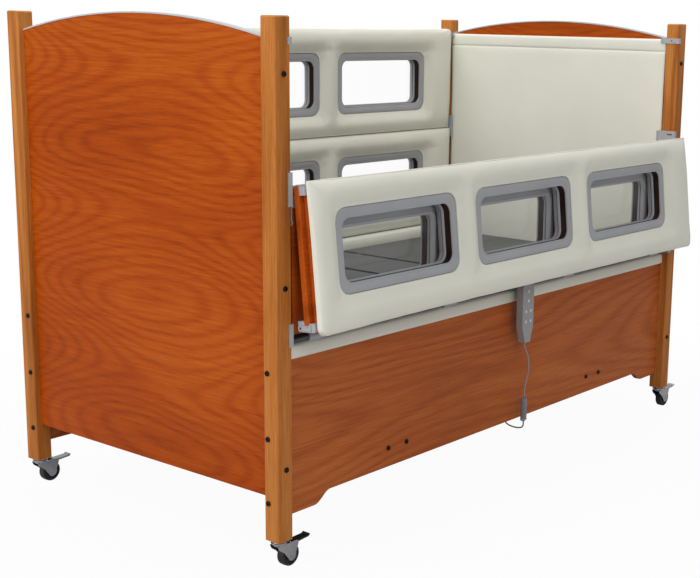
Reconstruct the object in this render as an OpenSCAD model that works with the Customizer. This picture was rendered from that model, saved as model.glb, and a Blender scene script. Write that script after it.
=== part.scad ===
/* [Frame] */
// Length over the corner posts
bed_l = 2150; // [2050:10:2300]
// Width over the corner posts
bed_w = 1128; // [1060:2:1300]
// Side of a square corner post
post_w = 54; // [48:1:64]
// Height of a corner post
post_h = 1398; // [1390:1:1500]
// Radius of the long edges of a post
post_round = 5; // [2:0.5:9]
// Chamfer around the top of a post
post_chamfer = 4; // [1:0.5:8]

/* [End panels] */
// Thickness of an end panel
panel_t = 19; // [15:1:24]
// Set-back of an end panel from the outer face of the posts
panel_recess = 20; // [8:1:26]
// Height of the panel's lower edge above the feet of the posts
panel_low = 117; // [80:1:180]
// Height at which the arched top starts
arch_spring = 1341; // [1300:1:1350]
// Rise of the arched top
arch_rise = 57; // [30:1:80]
// Thickness of the moulding on the arched edge
trim_t = 4; // [2:0.5:8]
// Width of the moulding on the arched edge
trim_w = 23; // [21:1:30]

/* [Skirts] */
// Thickness of a skirt
skirt_t = 19; // [15:1:24]
// Set-back of a skirt from the outer face of the posts
skirt_recess = 29; // [24:1:34]
// Height of the skirt's upper edge
skirt_top = 498; // [470:1:510]
// Height of the skirt's lower edge between its feet
skirt_low = 89; // [60:1:120]
// Length of the foot at each end of a skirt
foot_l = 115; // [80:1:160]
// Drop of the foot below the skirt's lower edge
foot_drop = 32; // [15:1:45]
// Length of the curve between foot and lower edge
ogee_l = 65; // [40:1:90]

/* [Safety rails] */
// Height of the lower rail's hinge line
lower_axis = 553; // [545:1:565]
// Height of the hinge line between lower and upper rail
upper_axis = 965; // [955:1:985]
// Thickness of a rail board
board_t = 19; // [16:1:22]
// Height of an upper rail board
board_h = 366; // [350:1:375]
// Thickness of the timber core behind a board
core_t = 22; // [21:1:30]
// Thickness of a rail cushion at its edges
cushion_t = 26; // [22:1:34]
// Crown of a rail cushion over its edge thickness
cushion_crown = 4; // [1:0.5:6]
// Corner radius of a rail cushion
cushion_r = 40; // [25:1:48]
// Outer length of a window ring
ring_l = 540; // [480:2:560]
// Outer height of a window ring
ring_h = 234; // [200:2:244]
// Gap between neighbouring window rings
ring_gap = 84; // [60:2:96]
// Width of a window ring's flange
ring_w = 29; // [20:1:36]
// Corner radius of a window ring
ring_r = 40; // [26:1:42]
// Set-back of the window rings below the crown of the cushion
ring_sunk = 15; // [10:1:18]
// Shift of the row of windows from the middle, towards the foot end
window_shift = 40; // [0:1:45]
// Thickness of a window pane
pane_t = 4; // [3:0.5:6]
// Radius of a rail hinge knuckle
knuckle_r = 3.3; // [2.6:0.1:3.4]
// Number of knuckles along a rail hinge
knuckles = 15; // [9:2:21]
// Diameter of the steel tube that carries a lower rail
tube_d = 24; // [18:1:26]

/* [Deck] */
// Height of the top of the deck
deck_top = 515; // [505:1:520]
// Thickness of a deck board
deck_t = 16; // [12:1:18]
// Gap between the deck and a sill pad
deck_side_gap = 21; // [18:1:46]
// Gap between the end of the deck and the inner face of a post
deck_end_gap = 13; // [10:1:40]
// Place of the backrest hinge along the bed
head_hinge_x = 290; // [250:2:320]
// Place of the thigh section's hinge along the bed
thigh_hinge_x = 26; // [0:2:50]
// Distance between thigh hinge and knee hinge
thigh_l = 370; // [330:2:400]
// Side of the square tubes of the deck frame
beam = 40; // [30:1:44]
// Diameter of an actuator's push rod
rod_d = 20; // [16:1:24]
// Outer diameter of an actuator's guide tube
guide_d = 40; // [34:1:46]

/* [Casters] */
// Diameter of a caster wheel
wheel_d = 65; // [56:1:75]
// Width of a caster wheel
wheel_w = 24; // [18:1:28]
// Distance from swivel axis to wheel axle
trail = 34; // [28:1:38]
// Reach of the brake pedal beyond the wheel axle
pedal_reach = 74; // [60:1:84]
// Thickness of a fork cheek
cheek_t = 2.5; // [2:0.5:4]

/* [Handset] */
// Width of the handset
handset_w = 62; // [50:1:66]
// Length of the handset's body
handset_l = 195; // [185:1:200]
// Thickness of the handset
handset_t = 24; // [20:1:26]
// Diameter of the cord
cord_d = 5; // [4:0.5:5]
// Outer diameter of the curly stretch
curl_d = 22; // [20:1:24]
// Number of curls
curls = 14; // [10:1:14]

/* [Hidden] */

FRONT = -1;
BACK = 1;
FOOT = -1;
HEAD = 1;
soft_gap = 0.3;
face_gap = 0.1;

// Heights are measured from the feet of the posts; the casters lift them
half_l = bed_l / 2;
half_w = bed_w / 2;
in_x = half_l - post_w;
in_y = half_w - post_w;
post_x = half_l - post_w / 2;
post_y = half_w - post_w / 2;

// Caster head: from the foot of the post down to the top of the wheel
washer_t = 4;
race_h = 10;
crown_t = 3;
crown_gap = 3;
head_h = washer_t + race_h + crown_t + crown_gap;
caster_h = head_h + wheel_d;
axle_z = -head_h - wheel_d / 2;

// Bolts
bolt_r = 4;
bolt_head_r = 7.5;
bolt_head_t = 5;
bolt_clear = 0.1;
bolt_grip = 36;
panel_bolt_heights = [203, 699, 1253];
skirt_bolt_heights = [107, 288, 470];

// Panels and skirts
panel_out_x = half_l - panel_recess;
panel_in_x = panel_out_x - panel_t;
arch_radius = (in_y * in_y + arch_rise * arch_rise) / (2 * arch_rise);
arch_centre = arch_spring + arch_rise - arch_radius;
skirt_out_y = half_w - skirt_recess;
skirt_in_y = skirt_out_y - skirt_t;

// End pads fill the depth between panel and inner faces of the posts
end_pad_back = panel_in_x - soft_gap;
end_pad_low = 475;
end_pad_top = arch_spring + 1;
end_pad_edge = 9;
end_pad_hem = 47;

// Rails
rail_y = half_w - 4;
rail_half = in_x - 6;
core_half = rail_half - 15;
hinge_d = -3;
hinge_half_gap = 2;
lower_bottom = 17;
lower_top = upper_axis - lower_axis - hinge_half_gap;
core_end_drop = 15;
core_d0 = board_t;
core_d1 = board_t + core_t;
cushion_d0 = core_d1 + soft_gap;
cushion_d1 = cushion_d0 + cushion_t;
cushion_half = rail_half - 5;
cushion_over = 30;
cushion_under = 12;
upper_pad_low = -cushion_under - 2 + 2;
upper_pad_high = board_h + cushion_over;
lower_pad_low = 0;
lower_pad_high = upper_axis - lower_axis - cushion_under - 2;
rest_fold = 174;
ring_inner_r = ring_r - 9;
ring_face = cushion_d1 + cushion_crown - ring_sunk;
ring_t = 6;
ring_lip = 12;
upper_ring_low = 67;
lower_ring_low = 79;
pane_d0 = 8;
window_clear = 3;
pad_clear = 5;
window_pitch = ring_l + ring_gap;
tube_d0 = 12;
tube_y = rail_y - tube_d0;
pin_r = 1.6;
hinge_clear = 0.05;
leaf_t = 1.2;
sleeve_clear = 0.05;
sleeve_t = 2.45;
sleeve_l = 60;
sleeve_x = [-920, -330, 330, 920];

// Brackets and latches
bracket_t = 3;
strike_h = 19;
strike_d = 16;
strike_s = 367;
strike_r = 2.5;
bracket_in = 17;
bracket_wrap = 12;
lever_t = 2.4;
lever_gap = 0.3;
lever_axis_d = 4;
lever_axis_s = 374;
lever_pin_r = 2;
cap_l = 30;
upper_tab = 23;
lower_tab = 2;
cap_high = 384;

// Deck
pivot_z = deck_top - deck_t / 2;
joint_gap = 12;
calf_hinge_x = thigh_hinge_x - thigh_l;
deck_end = in_x - deck_end_gap;
sill_over = 10;
sill_pad_w = 69;
deck_w = 2 * (skirt_out_y + sill_over - sill_pad_w - deck_side_gap);
frame_y = deck_w / 2 - 55;
frame_end = deck_end - 48;
batten_t = 13.7;
batten_w = 30;
rest_gap = 0.3;
frame_top = deck_top - deck_t - batten_t - rest_gap;
ear_r = 9;
ear_pin_r = 4;
ear_y = deck_w / 2 - 95;
ear_t = 8;
ear_side_t = 6;
ear_side_gap = 1;
low_beam_x = 548;
low_beam_w = 110;
low_beam_h = 30;
low_beam_z = skirt_low + 43;
low_bolt_x = [506, 590];

// Actuators
arm_r = 110;
arm_pin_r = 6;
arm_t = 10;
arm_y = 80;
head_swing = 65;
thigh_swing = 35;
head_arm_rest = -90 - head_swing / 2;
thigh_arm_rest = -90 + thigh_swing / 2;
head_rear_x = 522 - 754;
leg_rear_x = 522;
guide_l = 320;
gear_l = 70;
gear_w = 60;
motor_r = 28;
motor_l = 96;
rod_inside = 200;
fork_l = 40;
fork_w = 30;
cheek_w = 8;

// Handset
handset_x = 45;
handset_back = half_w + 2;
hook_pin_r = 3;
hook_y = -(half_w + 14);
hook_z = lower_axis + tube_d0;
handset_top = hook_z - 5;
handset_low = handset_top - handset_l;

// Frame of the whole: the origin is the middle of the base of the box round the object
reach_x0 = half_l + bolt_head_t;
reach_x1 = post_x + trail + pedal_reach;
fold_lean = 180 - rest_fold;
reach_y0 = rail_y - hinge_d + (cushion_d1 - hinge_d) * cos(fold_lean) + (upper_pad_high - 26) * sin(fold_lean);
reach_y1 = rail_y + upper_tab;
stand_x = (reach_x0 - reach_x1) / 2;
stand_y = (reach_y0 - reach_y1) / 2;

module on_stand() {
  translate([stand_x, stand_y, caster_h]) children();
}

// Mirrors children that are built for the front side and the foot end
module to_side(side) {
  mirror([0, side == BACK ? 1 : 0, 0]) children();
}
module to_end(end) {
  mirror([end == HEAD ? 1 : 0, 0, 0]) children();
}

// Box between two corners
module box(a, b) {
  translate(a) cube(b - a);
}

// Rectangle with round corners, centred
module round_rect(w, h, r) {
  square([w - 2 * r, h], center = true);
  square([w, h - 2 * r], center = true);
  for (x = [-1, 1], y = [-1, 1])
    translate([x * (w / 2 - r), y * (h / 2 - r)]) circle(r, $fn = 40);
}

// Profile in the plane of depth and height, extruded along the bed
module along_x(x0, x1) {
  translate([x0, 0, 0]) rotate([90, 0, 90]) linear_extrude(x1 - x0) children();
}
// Profile in the plane of length and height, extruded along the width
module along_y(y0, y1) {
  translate([0, y1, 0]) rotate([90, 0, 0]) linear_extrude(y1 - y0) children();
}

// Corner posts
module corner_post(end, side) {
  color("peru") on_stand() to_end(end) to_side(side) difference() {
    translate([-post_x, -post_y, 0]) difference() {
      linear_extrude(post_h) round_rect(post_w, post_w, post_round);
      for (turn = [0 : 90 : 270]) rotate([0, 0, turn])
        translate([post_w / 2, 0, post_h]) rotate([0, 45, 0])
          cube([post_chamfer * sqrt(2), post_w * 2, post_chamfer * sqrt(2)], center = true);
      translate([0, 0, -1]) cylinder(h = stem_l + 3, r = stem_r + bolt_clear, $fn = 32);
    }
    for (z = panel_bolt_heights) panel_bolt_at(z) bolt_hole();
    for (z = skirt_bolt_heights) skirt_bolt_at(z) bolt_hole();
  }
}

// Bolt that enters along +Z from a face at z = 0, its head below the face
module bolt() {
  translate([0, 0, -bolt_head_t]) difference() {
    rotate_extrude($fn = 32) polygon([
      [0, 0], [bolt_head_r * 0.6, 0], for (a = [-60 : 20 : 0])
        [bolt_head_r * (0.6 + 0.4 * cos(a)), bolt_head_t * 0.6 * (1 + sin(a))],
      [bolt_head_r, bolt_head_t], [0, bolt_head_t]
    ]);
    translate([0, 0, -1]) cylinder(h = 1 + bolt_head_t * 0.6, r = bolt_r * 0.7, $fn = 6);
  }
  cylinder(h = post_w + bolt_grip, r = bolt_r, $fn = 24);
}
module bolt_hole() {
  translate([0, 0, -1]) cylinder(h = post_w + bolt_grip + 2, r = bolt_r + bolt_clear, $fn = 24);
}
// Places on the front foot post: through its front face into the end panel
module panel_bolt_at(z) {
  translate([-(panel_out_x + panel_in_x) / 2, -half_w, z]) rotate([-90, 0, 0]) children();
}
// Through its end face into the skirt
module skirt_bolt_at(z) {
  translate([-half_l, -(skirt_out_y + skirt_in_y) / 2, z]) rotate([0, 90, 0]) children();
}
// Through the skirt into the low beams
module beam_bolt_at(x) {
  translate([x, -skirt_out_y, low_beam_z + low_beam_h / 2]) rotate([-90, 0, 0]) children();
}

module frame_bolts() {
  color("#202020") on_stand() {
    for (end = [FOOT, HEAD], side = [FRONT, BACK]) to_end(end) to_side(side) {
      for (z = panel_bolt_heights) panel_bolt_at(z) bolt();
      for (z = skirt_bolt_heights) skirt_bolt_at(z) bolt();
      for (x = low_bolt_x) beam_bolt_at(-x) short_bolt();
    }
  }
}
// Shorter bolt of the low beams
module short_bolt() {
  intersection() {
    bolt();
    translate([0, 0, -bolt_head_t - 1]) cylinder(h = bolt_head_t + 1 + skirt_t + 21, r = bolt_head_r + 1, $fn = 32);
  }
}

// End panels with arched tops
module arch_outline(grow) {
  intersection() {
    translate([0, arch_centre]) circle(arch_radius + grow, $fn = 360);
    translate([-in_y, panel_low]) square([2 * in_y, post_h + arch_rise]);
  }
}
module end_panel(end) {
  color("sienna") on_stand() to_end(end) difference() {
    translate([-panel_out_x, 0, 0]) along_x(0, panel_t) arch_outline(0);
    for (side = [FRONT, BACK], z = panel_bolt_heights) to_side(side) panel_bolt_at(z) bolt_hole();
  }
}
module end_edge_trims() {
  trim_x = (panel_out_x + panel_in_x) / 2;
  color("lightgrey") on_stand() for (end = [FOOT, HEAD]) to_end(end)
    along_x(-trim_x - trim_w / 2, -trim_x + trim_w / 2) difference() {
      arch_outline(trim_t);
      translate([0, arch_centre]) circle(arch_radius, $fn = 360);
      translate([-in_y - 1, 0]) square([2 * in_y + 2, arch_spring - trim_t]);
    }
}

// Skirts: boards whose feet curve up to the lower edge
module skirt_outline() {
  steps = 12;
  foot_x = in_x - foot_l;
  polygon([
    [-in_x, skirt_top], [-in_x, skirt_low - foot_drop],
    for (i = [0 : steps])
      [-foot_x + ogee_l * i / steps, skirt_low - foot_drop * (1 + cos(180 * i / steps)) / 2],
    for (i = [0 : steps])
      [foot_x - ogee_l * (1 - i / steps), skirt_low - foot_drop * (1 - cos(180 * i / steps)) / 2],
    [in_x, skirt_low - foot_drop], [in_x, skirt_top]
  ]);
}
module skirt(side) {
  color("sienna") on_stand() to_side(side) difference() {
    along_y(-skirt_out_y, -skirt_in_y) skirt_outline();
    for (end = [FOOT, HEAD]) to_end(end) {
      for (z = skirt_bolt_heights) skirt_bolt_at(z) bolt_hole();
      for (x = low_bolt_x) beam_bolt_at(-x) bolt_hole();
    }
  }
}

// Soft forms are closed meshes over a grid of lines; a cell in a hole is left out
function smooth(t) = let (u = max(0, min(1, t))) u * u * (3 - 2 * u);
function edge_rise(e, r) = let (u = 1 - min(e, r) / r) sqrt(1 - u * u);
// Moves a point of a square corner onto a round one; a and b are its distances from the two edges
function rounded(a, b, r) = a >= r || b >= r ? [a, b] :
  let (v = [r - a, r - b], m = max(v[0], v[1]), n = norm(v)) n == 0 ? [a, b] : [r, r] - v * m / n;
function is_open(i, j, n, m, holes) =
  i < 0 || j < 0 || i >= n || j >= m ||
  len([for (h = holes) if (i >= h[0] && i < h[1] && j >= h[2] && j < h[3]) 1]) > 0;

// back and front are lists of rows of points over n by m cells, holes are cell ranges
module soft_body(back, front, holes) {
  n = len(back) - 1;
  m = len(back[0]) - 1;
  size = (n + 1) * (m + 1);
  function at(i, j) = i * (m + 1) + j;
  cells = [for (i = [0 : n - 1], j = [0 : m - 1]) if (!is_open(i, j, n, m, holes)) [i, j]];
  points = concat([for (row = back) each row], [for (row = front) each row]);
  faces = [
    for (c = cells) let (a = at(c[0], c[1]), b = at(c[0] + 1, c[1]), d = at(c[0], c[1] + 1), e = at(c[0] + 1, c[1] + 1))
      each [
        [a, e, b], [a, d, e],
        [a + size, b + size, e + size], [a + size, e + size, d + size],
        if (is_open(c[0] - 1, c[1], n, m, holes)) each [[a, d + size, d], [a, a + size, d + size]],
        if (is_open(c[0] + 1, c[1], n, m, holes)) each [[b, e, e + size], [b, e + size, b + size]],
        if (is_open(c[0], c[1] - 1, n, m, holes)) each [[a, b, b + size], [a, b + size, a + size]],
        if (is_open(c[0], c[1] + 1, n, m, holes)) each [[d, e + size, e], [d, d + size, e + size]]
      ]
  ];
  polyhedron(points, faces, convexity = 8);
}

// Rail cushion: crowned face, sides drawn in, sunk round the windows
module rail_cushion(low, high, ring_low) {
  hl = ring_l / 2 + pad_clear;
  inner = ring_r;
  lip = 14;
  half_window = [for (c = [-1, 0, 1]) c * window_pitch - window_shift];
  us = concat(
    [-cushion_half, -cushion_half + 9, -cushion_half + cushion_r],
    [for (c = half_window) each [c - hl - lip, c - hl, c - hl + inner, c + hl - inner, c + hl, c + hl + lip]],
    [cushion_half - cushion_r, cushion_half - 9, cushion_half]
  );
  w0 = ring_low - pad_clear;
  w1 = ring_low + ring_h + pad_clear;
  vs = [low, low + 9, low + 26, w0 - lip, w0, w0 + inner, w1 - inner, w1, w1 + lip, high - 26, high - 9, high];
  holes = [for (k = [0, 1, 2]) [4 + 6 * k, 7 + 6 * k, 4, 7]];
  function window_dist(x, z) = min([for (c = half_window)
    max(0, norm([max(0, abs(x - c) - hl), max(0, abs(z - (w0 + w1) / 2) - (w1 - w0) / 2)]))]);
  function place(x, z) =
    let (
      ax = cushion_half - abs(x), az = min(z - low, high - z),
      q = rounded(ax, az, cushion_r),
      draw_z = 3 * smooth(ax / 400) * (1 - smooth(az / 40)),
      draw_x = 2 * smooth(az / 150) * (1 - smooth(ax / 40)),
      sx = x < 0 ? -1 : 1,
      nx = sx * (cushion_half - q[0] - draw_x),
      nz = z - low < high - z ? low + q[1] + draw_z : high - q[1] - draw_z
    ) [nx, nz];
  function bent(x, z) =
    let (
      near = [for (c = half_window) if (abs(abs(x - c) - hl) < 0.01 && (abs(z - w0) < 0.01 || abs(z - w1) < 0.01)) c],
      pull = 0.29 * inner
    )
    len(near) == 0 ? place(x, z) :
      [x + (x < near[0] ? pull : -pull), z + (abs(z - w0) < 0.01 ? pull : -pull)];
  function height(x, z) =
    let (
      e = min(cushion_half - abs(x), z - low, high - z),
      mid = (low + high) / 2,
      crown = cushion_crown * (1 - pow((z - mid) / (high - mid), 2)) * smooth((cushion_half - abs(x)) / 200),
      dip = (ring_sunk - cushion_crown + ring_t - 4) * (1 - smooth(window_dist(x, z) / (lip * 1.6)))
    )
    10 + (cushion_t - 10) * edge_rise(e, 28) + crown - dip * 0.8;
  back = [for (x = us) [for (z = vs) let (p = bent(x, z)) [p[0], cushion_d0, p[1]]]];
  front = [for (x = us) [for (z = vs) let (p = bent(x, z)) [p[0], cushion_d0 + height(x, z), p[1]]]];
  soft_body(back, front, holes);
}

// End pads: thin quilts with a hem across the top
module end_pad(end) {
  hw = in_y - 3;
  ys = [-hw, -hw + 8, -hw + 30, -250, 0, 250, hw - 30, hw - 8, hw];
  seam = end_pad_top - end_pad_hem;
  zs = [end_pad_low, end_pad_low + 8, end_pad_low + 40, 760, 1030, seam - 16, seam, seam + 14, end_pad_top - 8, end_pad_top];
  full = panel_in_x - in_x - soft_gap - 0.8;
  function thick(y, z) =
    let (e = min(hw - abs(y), z - end_pad_low, end_pad_top - z))
    full - (full - end_pad_edge) * (1 - edge_rise(e, 24)) - (abs(z - seam) < 0.01 ? 3 : 0);
  function draw(y, z) = [y * (1 - 2 / hw * smooth(min(z - end_pad_low, end_pad_top - z) / 200)), z];
  back = [for (y = ys) [for (z = zs) let (p = draw(y, z)) [-end_pad_back, p[0], p[1]]]];
  front = [for (y = ys) [for (z = zs) let (p = draw(y, z)) [-end_pad_back + thick(y, z), p[0], p[1]]]];
  color("beige") on_stand() to_end(end) soft_body(front, back, []);
}

// Sill pads: padded bands over the upper edges of the skirts
module sill_pads() {
  function section(k) =
    let (
      y0 = skirt_out_y + sill_over, z0 = skirt_top,
      t = tube_y - y0,
      p = [
        [y0, z0 + soft_gap], [y0, z0 + 22], [y0 - 1, z0 + 33], [y0 - 12, z0 + 39],
        [y0 - 27, z0 + 48], [y0 - 44, z0 + 52], [y0 - 61, z0 + 51], [y0 - 68, z0 + 44],
        [y0 - sill_pad_w, z0 + soft_gap]
      ],
      c = [y0 - 34, z0 + 26]
    ) [for (q = p) [-(c[0] + (q[0] - c[0]) * k), max(z0 + soft_gap, c[1] + (q[1] - c[1]) * k)]];
  sill_mid = rail_half - 515;
  xs = [-rail_half, -rail_half + 6, -rail_half + 24, -sill_mid, 0, sill_mid, rail_half - 24, rail_half - 6, rail_half];
  ks = [0.93, 0.98, 1, 0.99, 1, 0.99, 1, 0.98, 0.93];
  n = len(section(1));
  points = [for (i = [0 : len(xs) - 1]) each [for (q = section(ks[i])) [xs[i], q[0], q[1]]]];
  last = (len(xs) - 1) * n;
  faces = concat(
    [for (i = [0 : len(xs) - 2], j = [0 : n - 1]) let (a = i * n + j, b = i * n + (j + 1) % n)
      each [[a, b, b + n], [a, b + n, a + n]]],
    [for (j = [1 : n - 2]) [0, j + 1, j]],
    [for (j = [1 : n - 2]) [last, last + j, last + j + 1]]
  );
  color("beige") on_stand() for (side = [FRONT, BACK]) to_side(side) polyhedron(points, faces, convexity = 4);
}

// Steel tubes on which the lower rails turn
module side_tubes() {
  color("dimgray") on_stand() for (side = [FRONT, BACK]) to_side(side)
    translate([-in_x + bracket_t, -tube_y, lower_axis]) rotate([0, 90, 0]) difference() {
      cylinder(h = 2 * (in_x - bracket_t), d = tube_d, $fn = 48);
      translate([0, 0, -1]) cylinder(h = 2 * in_x, d = tube_d - 5, $fn = 48);
    }
}

// Angle brackets on the posts: long leg on the inner face, short leg on the front face
module angle(z0, z1, curl) {
  y_in = -in_y + bracket_in;
  box([-in_x, -half_w - bracket_t, z0], [-in_x + bracket_t, y_in, z1]);
  box([-in_x - bracket_wrap, -half_w - bracket_t, z0], [-in_x, -half_w, z1]);
  if (curl) translate([-in_x + bracket_t, y_in, z0]) cylinder(h = z1 - z0, r = bracket_t, $fn = 24);
}
module strike_pin(z) {
  translate([-in_x + bracket_t, -rail_y + strike_d, z]) rotate([0, 90, 0])
    cylinder(h = lever_gap + lever_t, r = strike_r, $fn = 24);
}
module post_brackets() {
  top_z = upper_axis + strike_s;
  mid_z = lower_axis + strike_s;
  color("silver") on_stand() for (end = [FOOT, HEAD], side = [FRONT, BACK]) to_end(end) to_side(side) {
    difference() {
      angle(top_z - 6, top_z - 6 + strike_h, true);
      translate([-in_x - 1, -in_y - 24, top_z + 3.5]) rotate([0, 90, 0]) cylinder(h = 5, r = 3, $fn = 24);
    }
    strike_pin(top_z);
    difference() {
      angle(mid_z - 7, mid_z + 82, true);
      translate([-in_x - 1, -in_y - 24, mid_z + 12]) rotate([0, 90, 0]) cylinder(h = 5, r = 5, $fn = 24);
      box([-in_x - 1, -half_w + 8, mid_z + 66], [-in_x + 5, -half_w + 30, mid_z + 72]);
    }
    strike_pin(mid_z);
    angle(lower_axis - 15, lower_axis + 48, false);
  }
}

// Rail boards, cores and windows, built for the front: x along, y inwards, z up from the hinge line
module place_rail(side, is_upper) {
  to_side(side) {
    if (is_upper)
      translate([0, -rail_y + hinge_d, upper_axis])
        rotate([side == FRONT ? rest_fold : 0, 0, 0]) translate([0, -hinge_d, 0]) children();
    else
      translate([0, -rail_y, lower_axis]) children();
  }
}
module at_windows(ring_low) {
  for (c = [-1, 0, 1]) translate([c * window_pitch - window_shift, 0, ring_low + ring_h / 2]) children();
}
// Flat ring or plate of a window between two depths
module window_plate(d0, d1, grow, r) {
  along_y(d0, d1) round_rect(ring_l + 2 * grow, ring_h + 2 * grow, r);
}
module rail_board(side, is_upper) {
  low = is_upper ? hinge_half_gap : lower_bottom;
  high = is_upper ? board_h : lower_top;
  core_low = is_upper ? 8 : lower_bottom;
  core_high = is_upper ? board_h + 22 : lower_top - core_end_drop;
  ring_low = is_upper ? upper_ring_low : lower_ring_low;
  ease = 3;
  color("chocolate") on_stand() place_rail(side, is_upper) difference() {
    union() {
      along_x(-rail_half, rail_half) polygon([
        [ease, low], [board_t, low], [board_t, high], [ease, high], [0, high - ease], [0, low + ease]
      ]);
      box([-core_half, core_d0, core_low], [core_half, core_d1, core_high]);
    }
    at_windows(ring_low) window_plate(-1, core_d1 + 1, -ring_w + window_clear, ring_inner_r + window_clear);
  }
}
// Outer ring, pane and inner ring of each of the three windows
module rail_windows(side, is_upper) {
  ring_low = is_upper ? upper_ring_low : lower_ring_low;
  flange = 5;
  color("darkgrey") on_stand() place_rail(side, is_upper) at_windows(ring_low) {
    seat = -ring_w + window_clear - face_gap;
    seat_r = ring_inner_r + window_clear;
    difference() {
      union() {
        window_plate(-flange, 0, 0, ring_r);
        window_plate(-flange, pane_d0 - face_gap, seat, seat_r);
      }
      window_plate(-flange - 1, pane_d0 + 1, -ring_w, ring_inner_r);
    }
    window_plate(pane_d0, pane_d0 + pane_t, seat, seat_r);
    difference() {
      union() {
        window_plate(ring_face - ring_t, ring_face, 0, ring_r);
        window_plate(pane_d0 + pane_t + face_gap, ring_face - ring_t, seat, seat_r);
        window_plate(ring_face, ring_face + 2, -ring_w + 6, ring_inner_r + 6);
      }
      window_plate(pane_d0, ring_face + 3, -ring_w, ring_inner_r);
    }
  }
}
module rail_pad(side, is_upper) {
  color("beige") on_stand() place_rail(side, is_upper)
    if (is_upper) rail_cushion(upper_pad_low, upper_pad_high, upper_ring_low);
    else rail_cushion(lower_pad_low, lower_pad_high, lower_ring_low);
}

// Knuckles, leaves and pin of the hinge between the rails, first knuckle on the lower rail
module knuckle_row(first) {
  pitch = 2 * core_half / knuckles;
  for (k = [first : 2 : knuckles - 1])
    translate([-core_half + pitch * k + 0.25, hinge_d, 0]) rotate([0, 90, 0])
      cylinder(h = pitch - 0.5, r = knuckle_r, $fn = 24);
}
module hinge_leaf(up, first) {
  z0 = up ? hinge_half_gap - leaf_t : -hinge_half_gap;
  pitch = 2 * core_half / knuckles;
  box([-core_half, 0.4, z0], [core_half, board_t - 2, z0 + leaf_t]);
  for (k = [first : 2 : knuckles - 1])
    box([-core_half + pitch * k + 0.25, hinge_d, z0], [-core_half + pitch * (k + 1) - 0.25, 1, z0 + leaf_t]);
}
module hinge_bore(r) {
  translate([-core_half - 1, hinge_d, 0]) rotate([0, 90, 0]) cylinder(h = 2 * core_half + 2, r = r, $fn = 24);
}
module hinge_half(up, first) {
  difference() {
    union() {
      knuckle_row(first);
      hinge_leaf(up, first);
    }
    hinge_bore(pin_r + hinge_clear);
  }
}

// Cap over the upper edge of an upper board at its end, with a tab that guides the latch lever
module upper_cap() {
  difference() {
    along_x(-rail_half, -rail_half + cap_l) polygon([
      [-upper_tab, board_h - 11], [-face_gap, board_h - 11], [-face_gap, board_h], [board_t - face_gap, board_h],
      [board_t - face_gap, cap_high], [-upper_tab + 4, cap_high], [-upper_tab, cap_high - 4]
    ]);
    translate([-rail_half - 1, -upper_tab + 9, lever_axis_s]) rotate([0, 90, 0])
      cylinder(h = cap_l + 2, r = 4, $fn = 24);
  }
}
// Plates either side of a lower board at its end
module lower_cap() {
  along_x(-rail_half, -rail_half + cap_l) polygon([
    [-lower_tab, board_h - 9], [0, board_h - 11], [0, cap_high + 2], [-lower_tab, cap_high]
  ]);
}
// Arm beside the core, and the pin on which the lever turns
module end_cap(is_upper) {
  if (is_upper) upper_cap();
  else lower_cap();
  along_x(-rail_half, -core_half - face_gap) polygon([
    [board_t, board_h - 6], [board_t + 18, board_h - 6], [board_t + 18, cap_high - 4],
    [board_t + 14, cap_high], [board_t, cap_high]
  ]);
  translate([-rail_half - lever_gap - lever_t, lever_axis_d, lever_axis_s]) rotate([0, 90, 0])
    cylinder(h = lever_gap + lever_t, r = lever_pin_r, $fn = 24);
}
module rail_fittings(side, is_upper) {
  lower_span = upper_axis - lower_axis;
  color("lightgrey") on_stand() {
    place_rail(side, is_upper) for (end = [FOOT, HEAD]) to_end(end) end_cap(is_upper);
    if (is_upper) {
      place_rail(side, true) hinge_half(true, 1);
      place_rail(side, true) for (end = [FOOT, HEAD]) to_end(end)
        box([-rail_half, board_t, hinge_half_gap], [-core_half - face_gap, core_d1 - 2, 24]);
    } else {
      place_rail(side, false) translate([0, 0, lower_span]) {
        hinge_half(false, 0);
        hinge_bore(pin_r);
      }
      place_rail(side, false) sleeves();
      if (side == FRONT) handset_hook();
    }
  }
}
// Sleeves on the side tube, with the plates that carry the lower board
module sleeves() {
  sleeve_r = tube_d / 2 + sleeve_clear + sleeve_t;
  for (x = sleeve_x) translate([x - sleeve_l / 2, 0, 0]) difference() {
    union() {
      translate([0, tube_d0, 0]) rotate([0, 90, 0]) cylinder(h = sleeve_l, r = sleeve_r, $fn = 40);
      box([0, 0, sleeve_r - 0.6], [sleeve_l, 40, lower_bottom]);
    }
    translate([-1, tube_d0, 0]) rotate([0, 90, 0])
      cylinder(h = sleeve_l + 2, r = tube_d / 2 + sleeve_clear, $fn = 40);
  }
}

// Latch lever: turns on its pin, hooks behind the strike pin on the post
module lever_outline(tab, hook) {
  difference() {
    union() {
      translate([lever_axis_d, lever_axis_s]) circle(7, $fn = 32);
      if (tab > 12) {
        translate([-tab + 9, lever_axis_s]) circle(8, $fn = 32);
        translate([-tab + 9, lever_axis_s - 6]) square([tab - 9 + lever_axis_d, 12]);
      } else {
        translate([lever_axis_d - 5, lever_axis_s - 58]) square([10, 58]);
        translate([lever_axis_d, lever_axis_s - 58]) circle(8, $fn = 32);
      }
      translate([lever_axis_d, lever_axis_s - 3]) square([24 - lever_axis_d, 9]);
      translate([strike_d + strike_r + 0.4, hook]) square([24 - strike_d - strike_r - 0.4, lever_axis_s + 6 - hook]);
    }
    translate([lever_axis_d, lever_axis_s]) circle(lever_pin_r + hinge_clear, $fn = 24);
    translate(tab > 12 ? [-tab + 9, lever_axis_s] : [lever_axis_d, lever_axis_s - 58]) circle(4, $fn = 24);
  }
}
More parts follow.
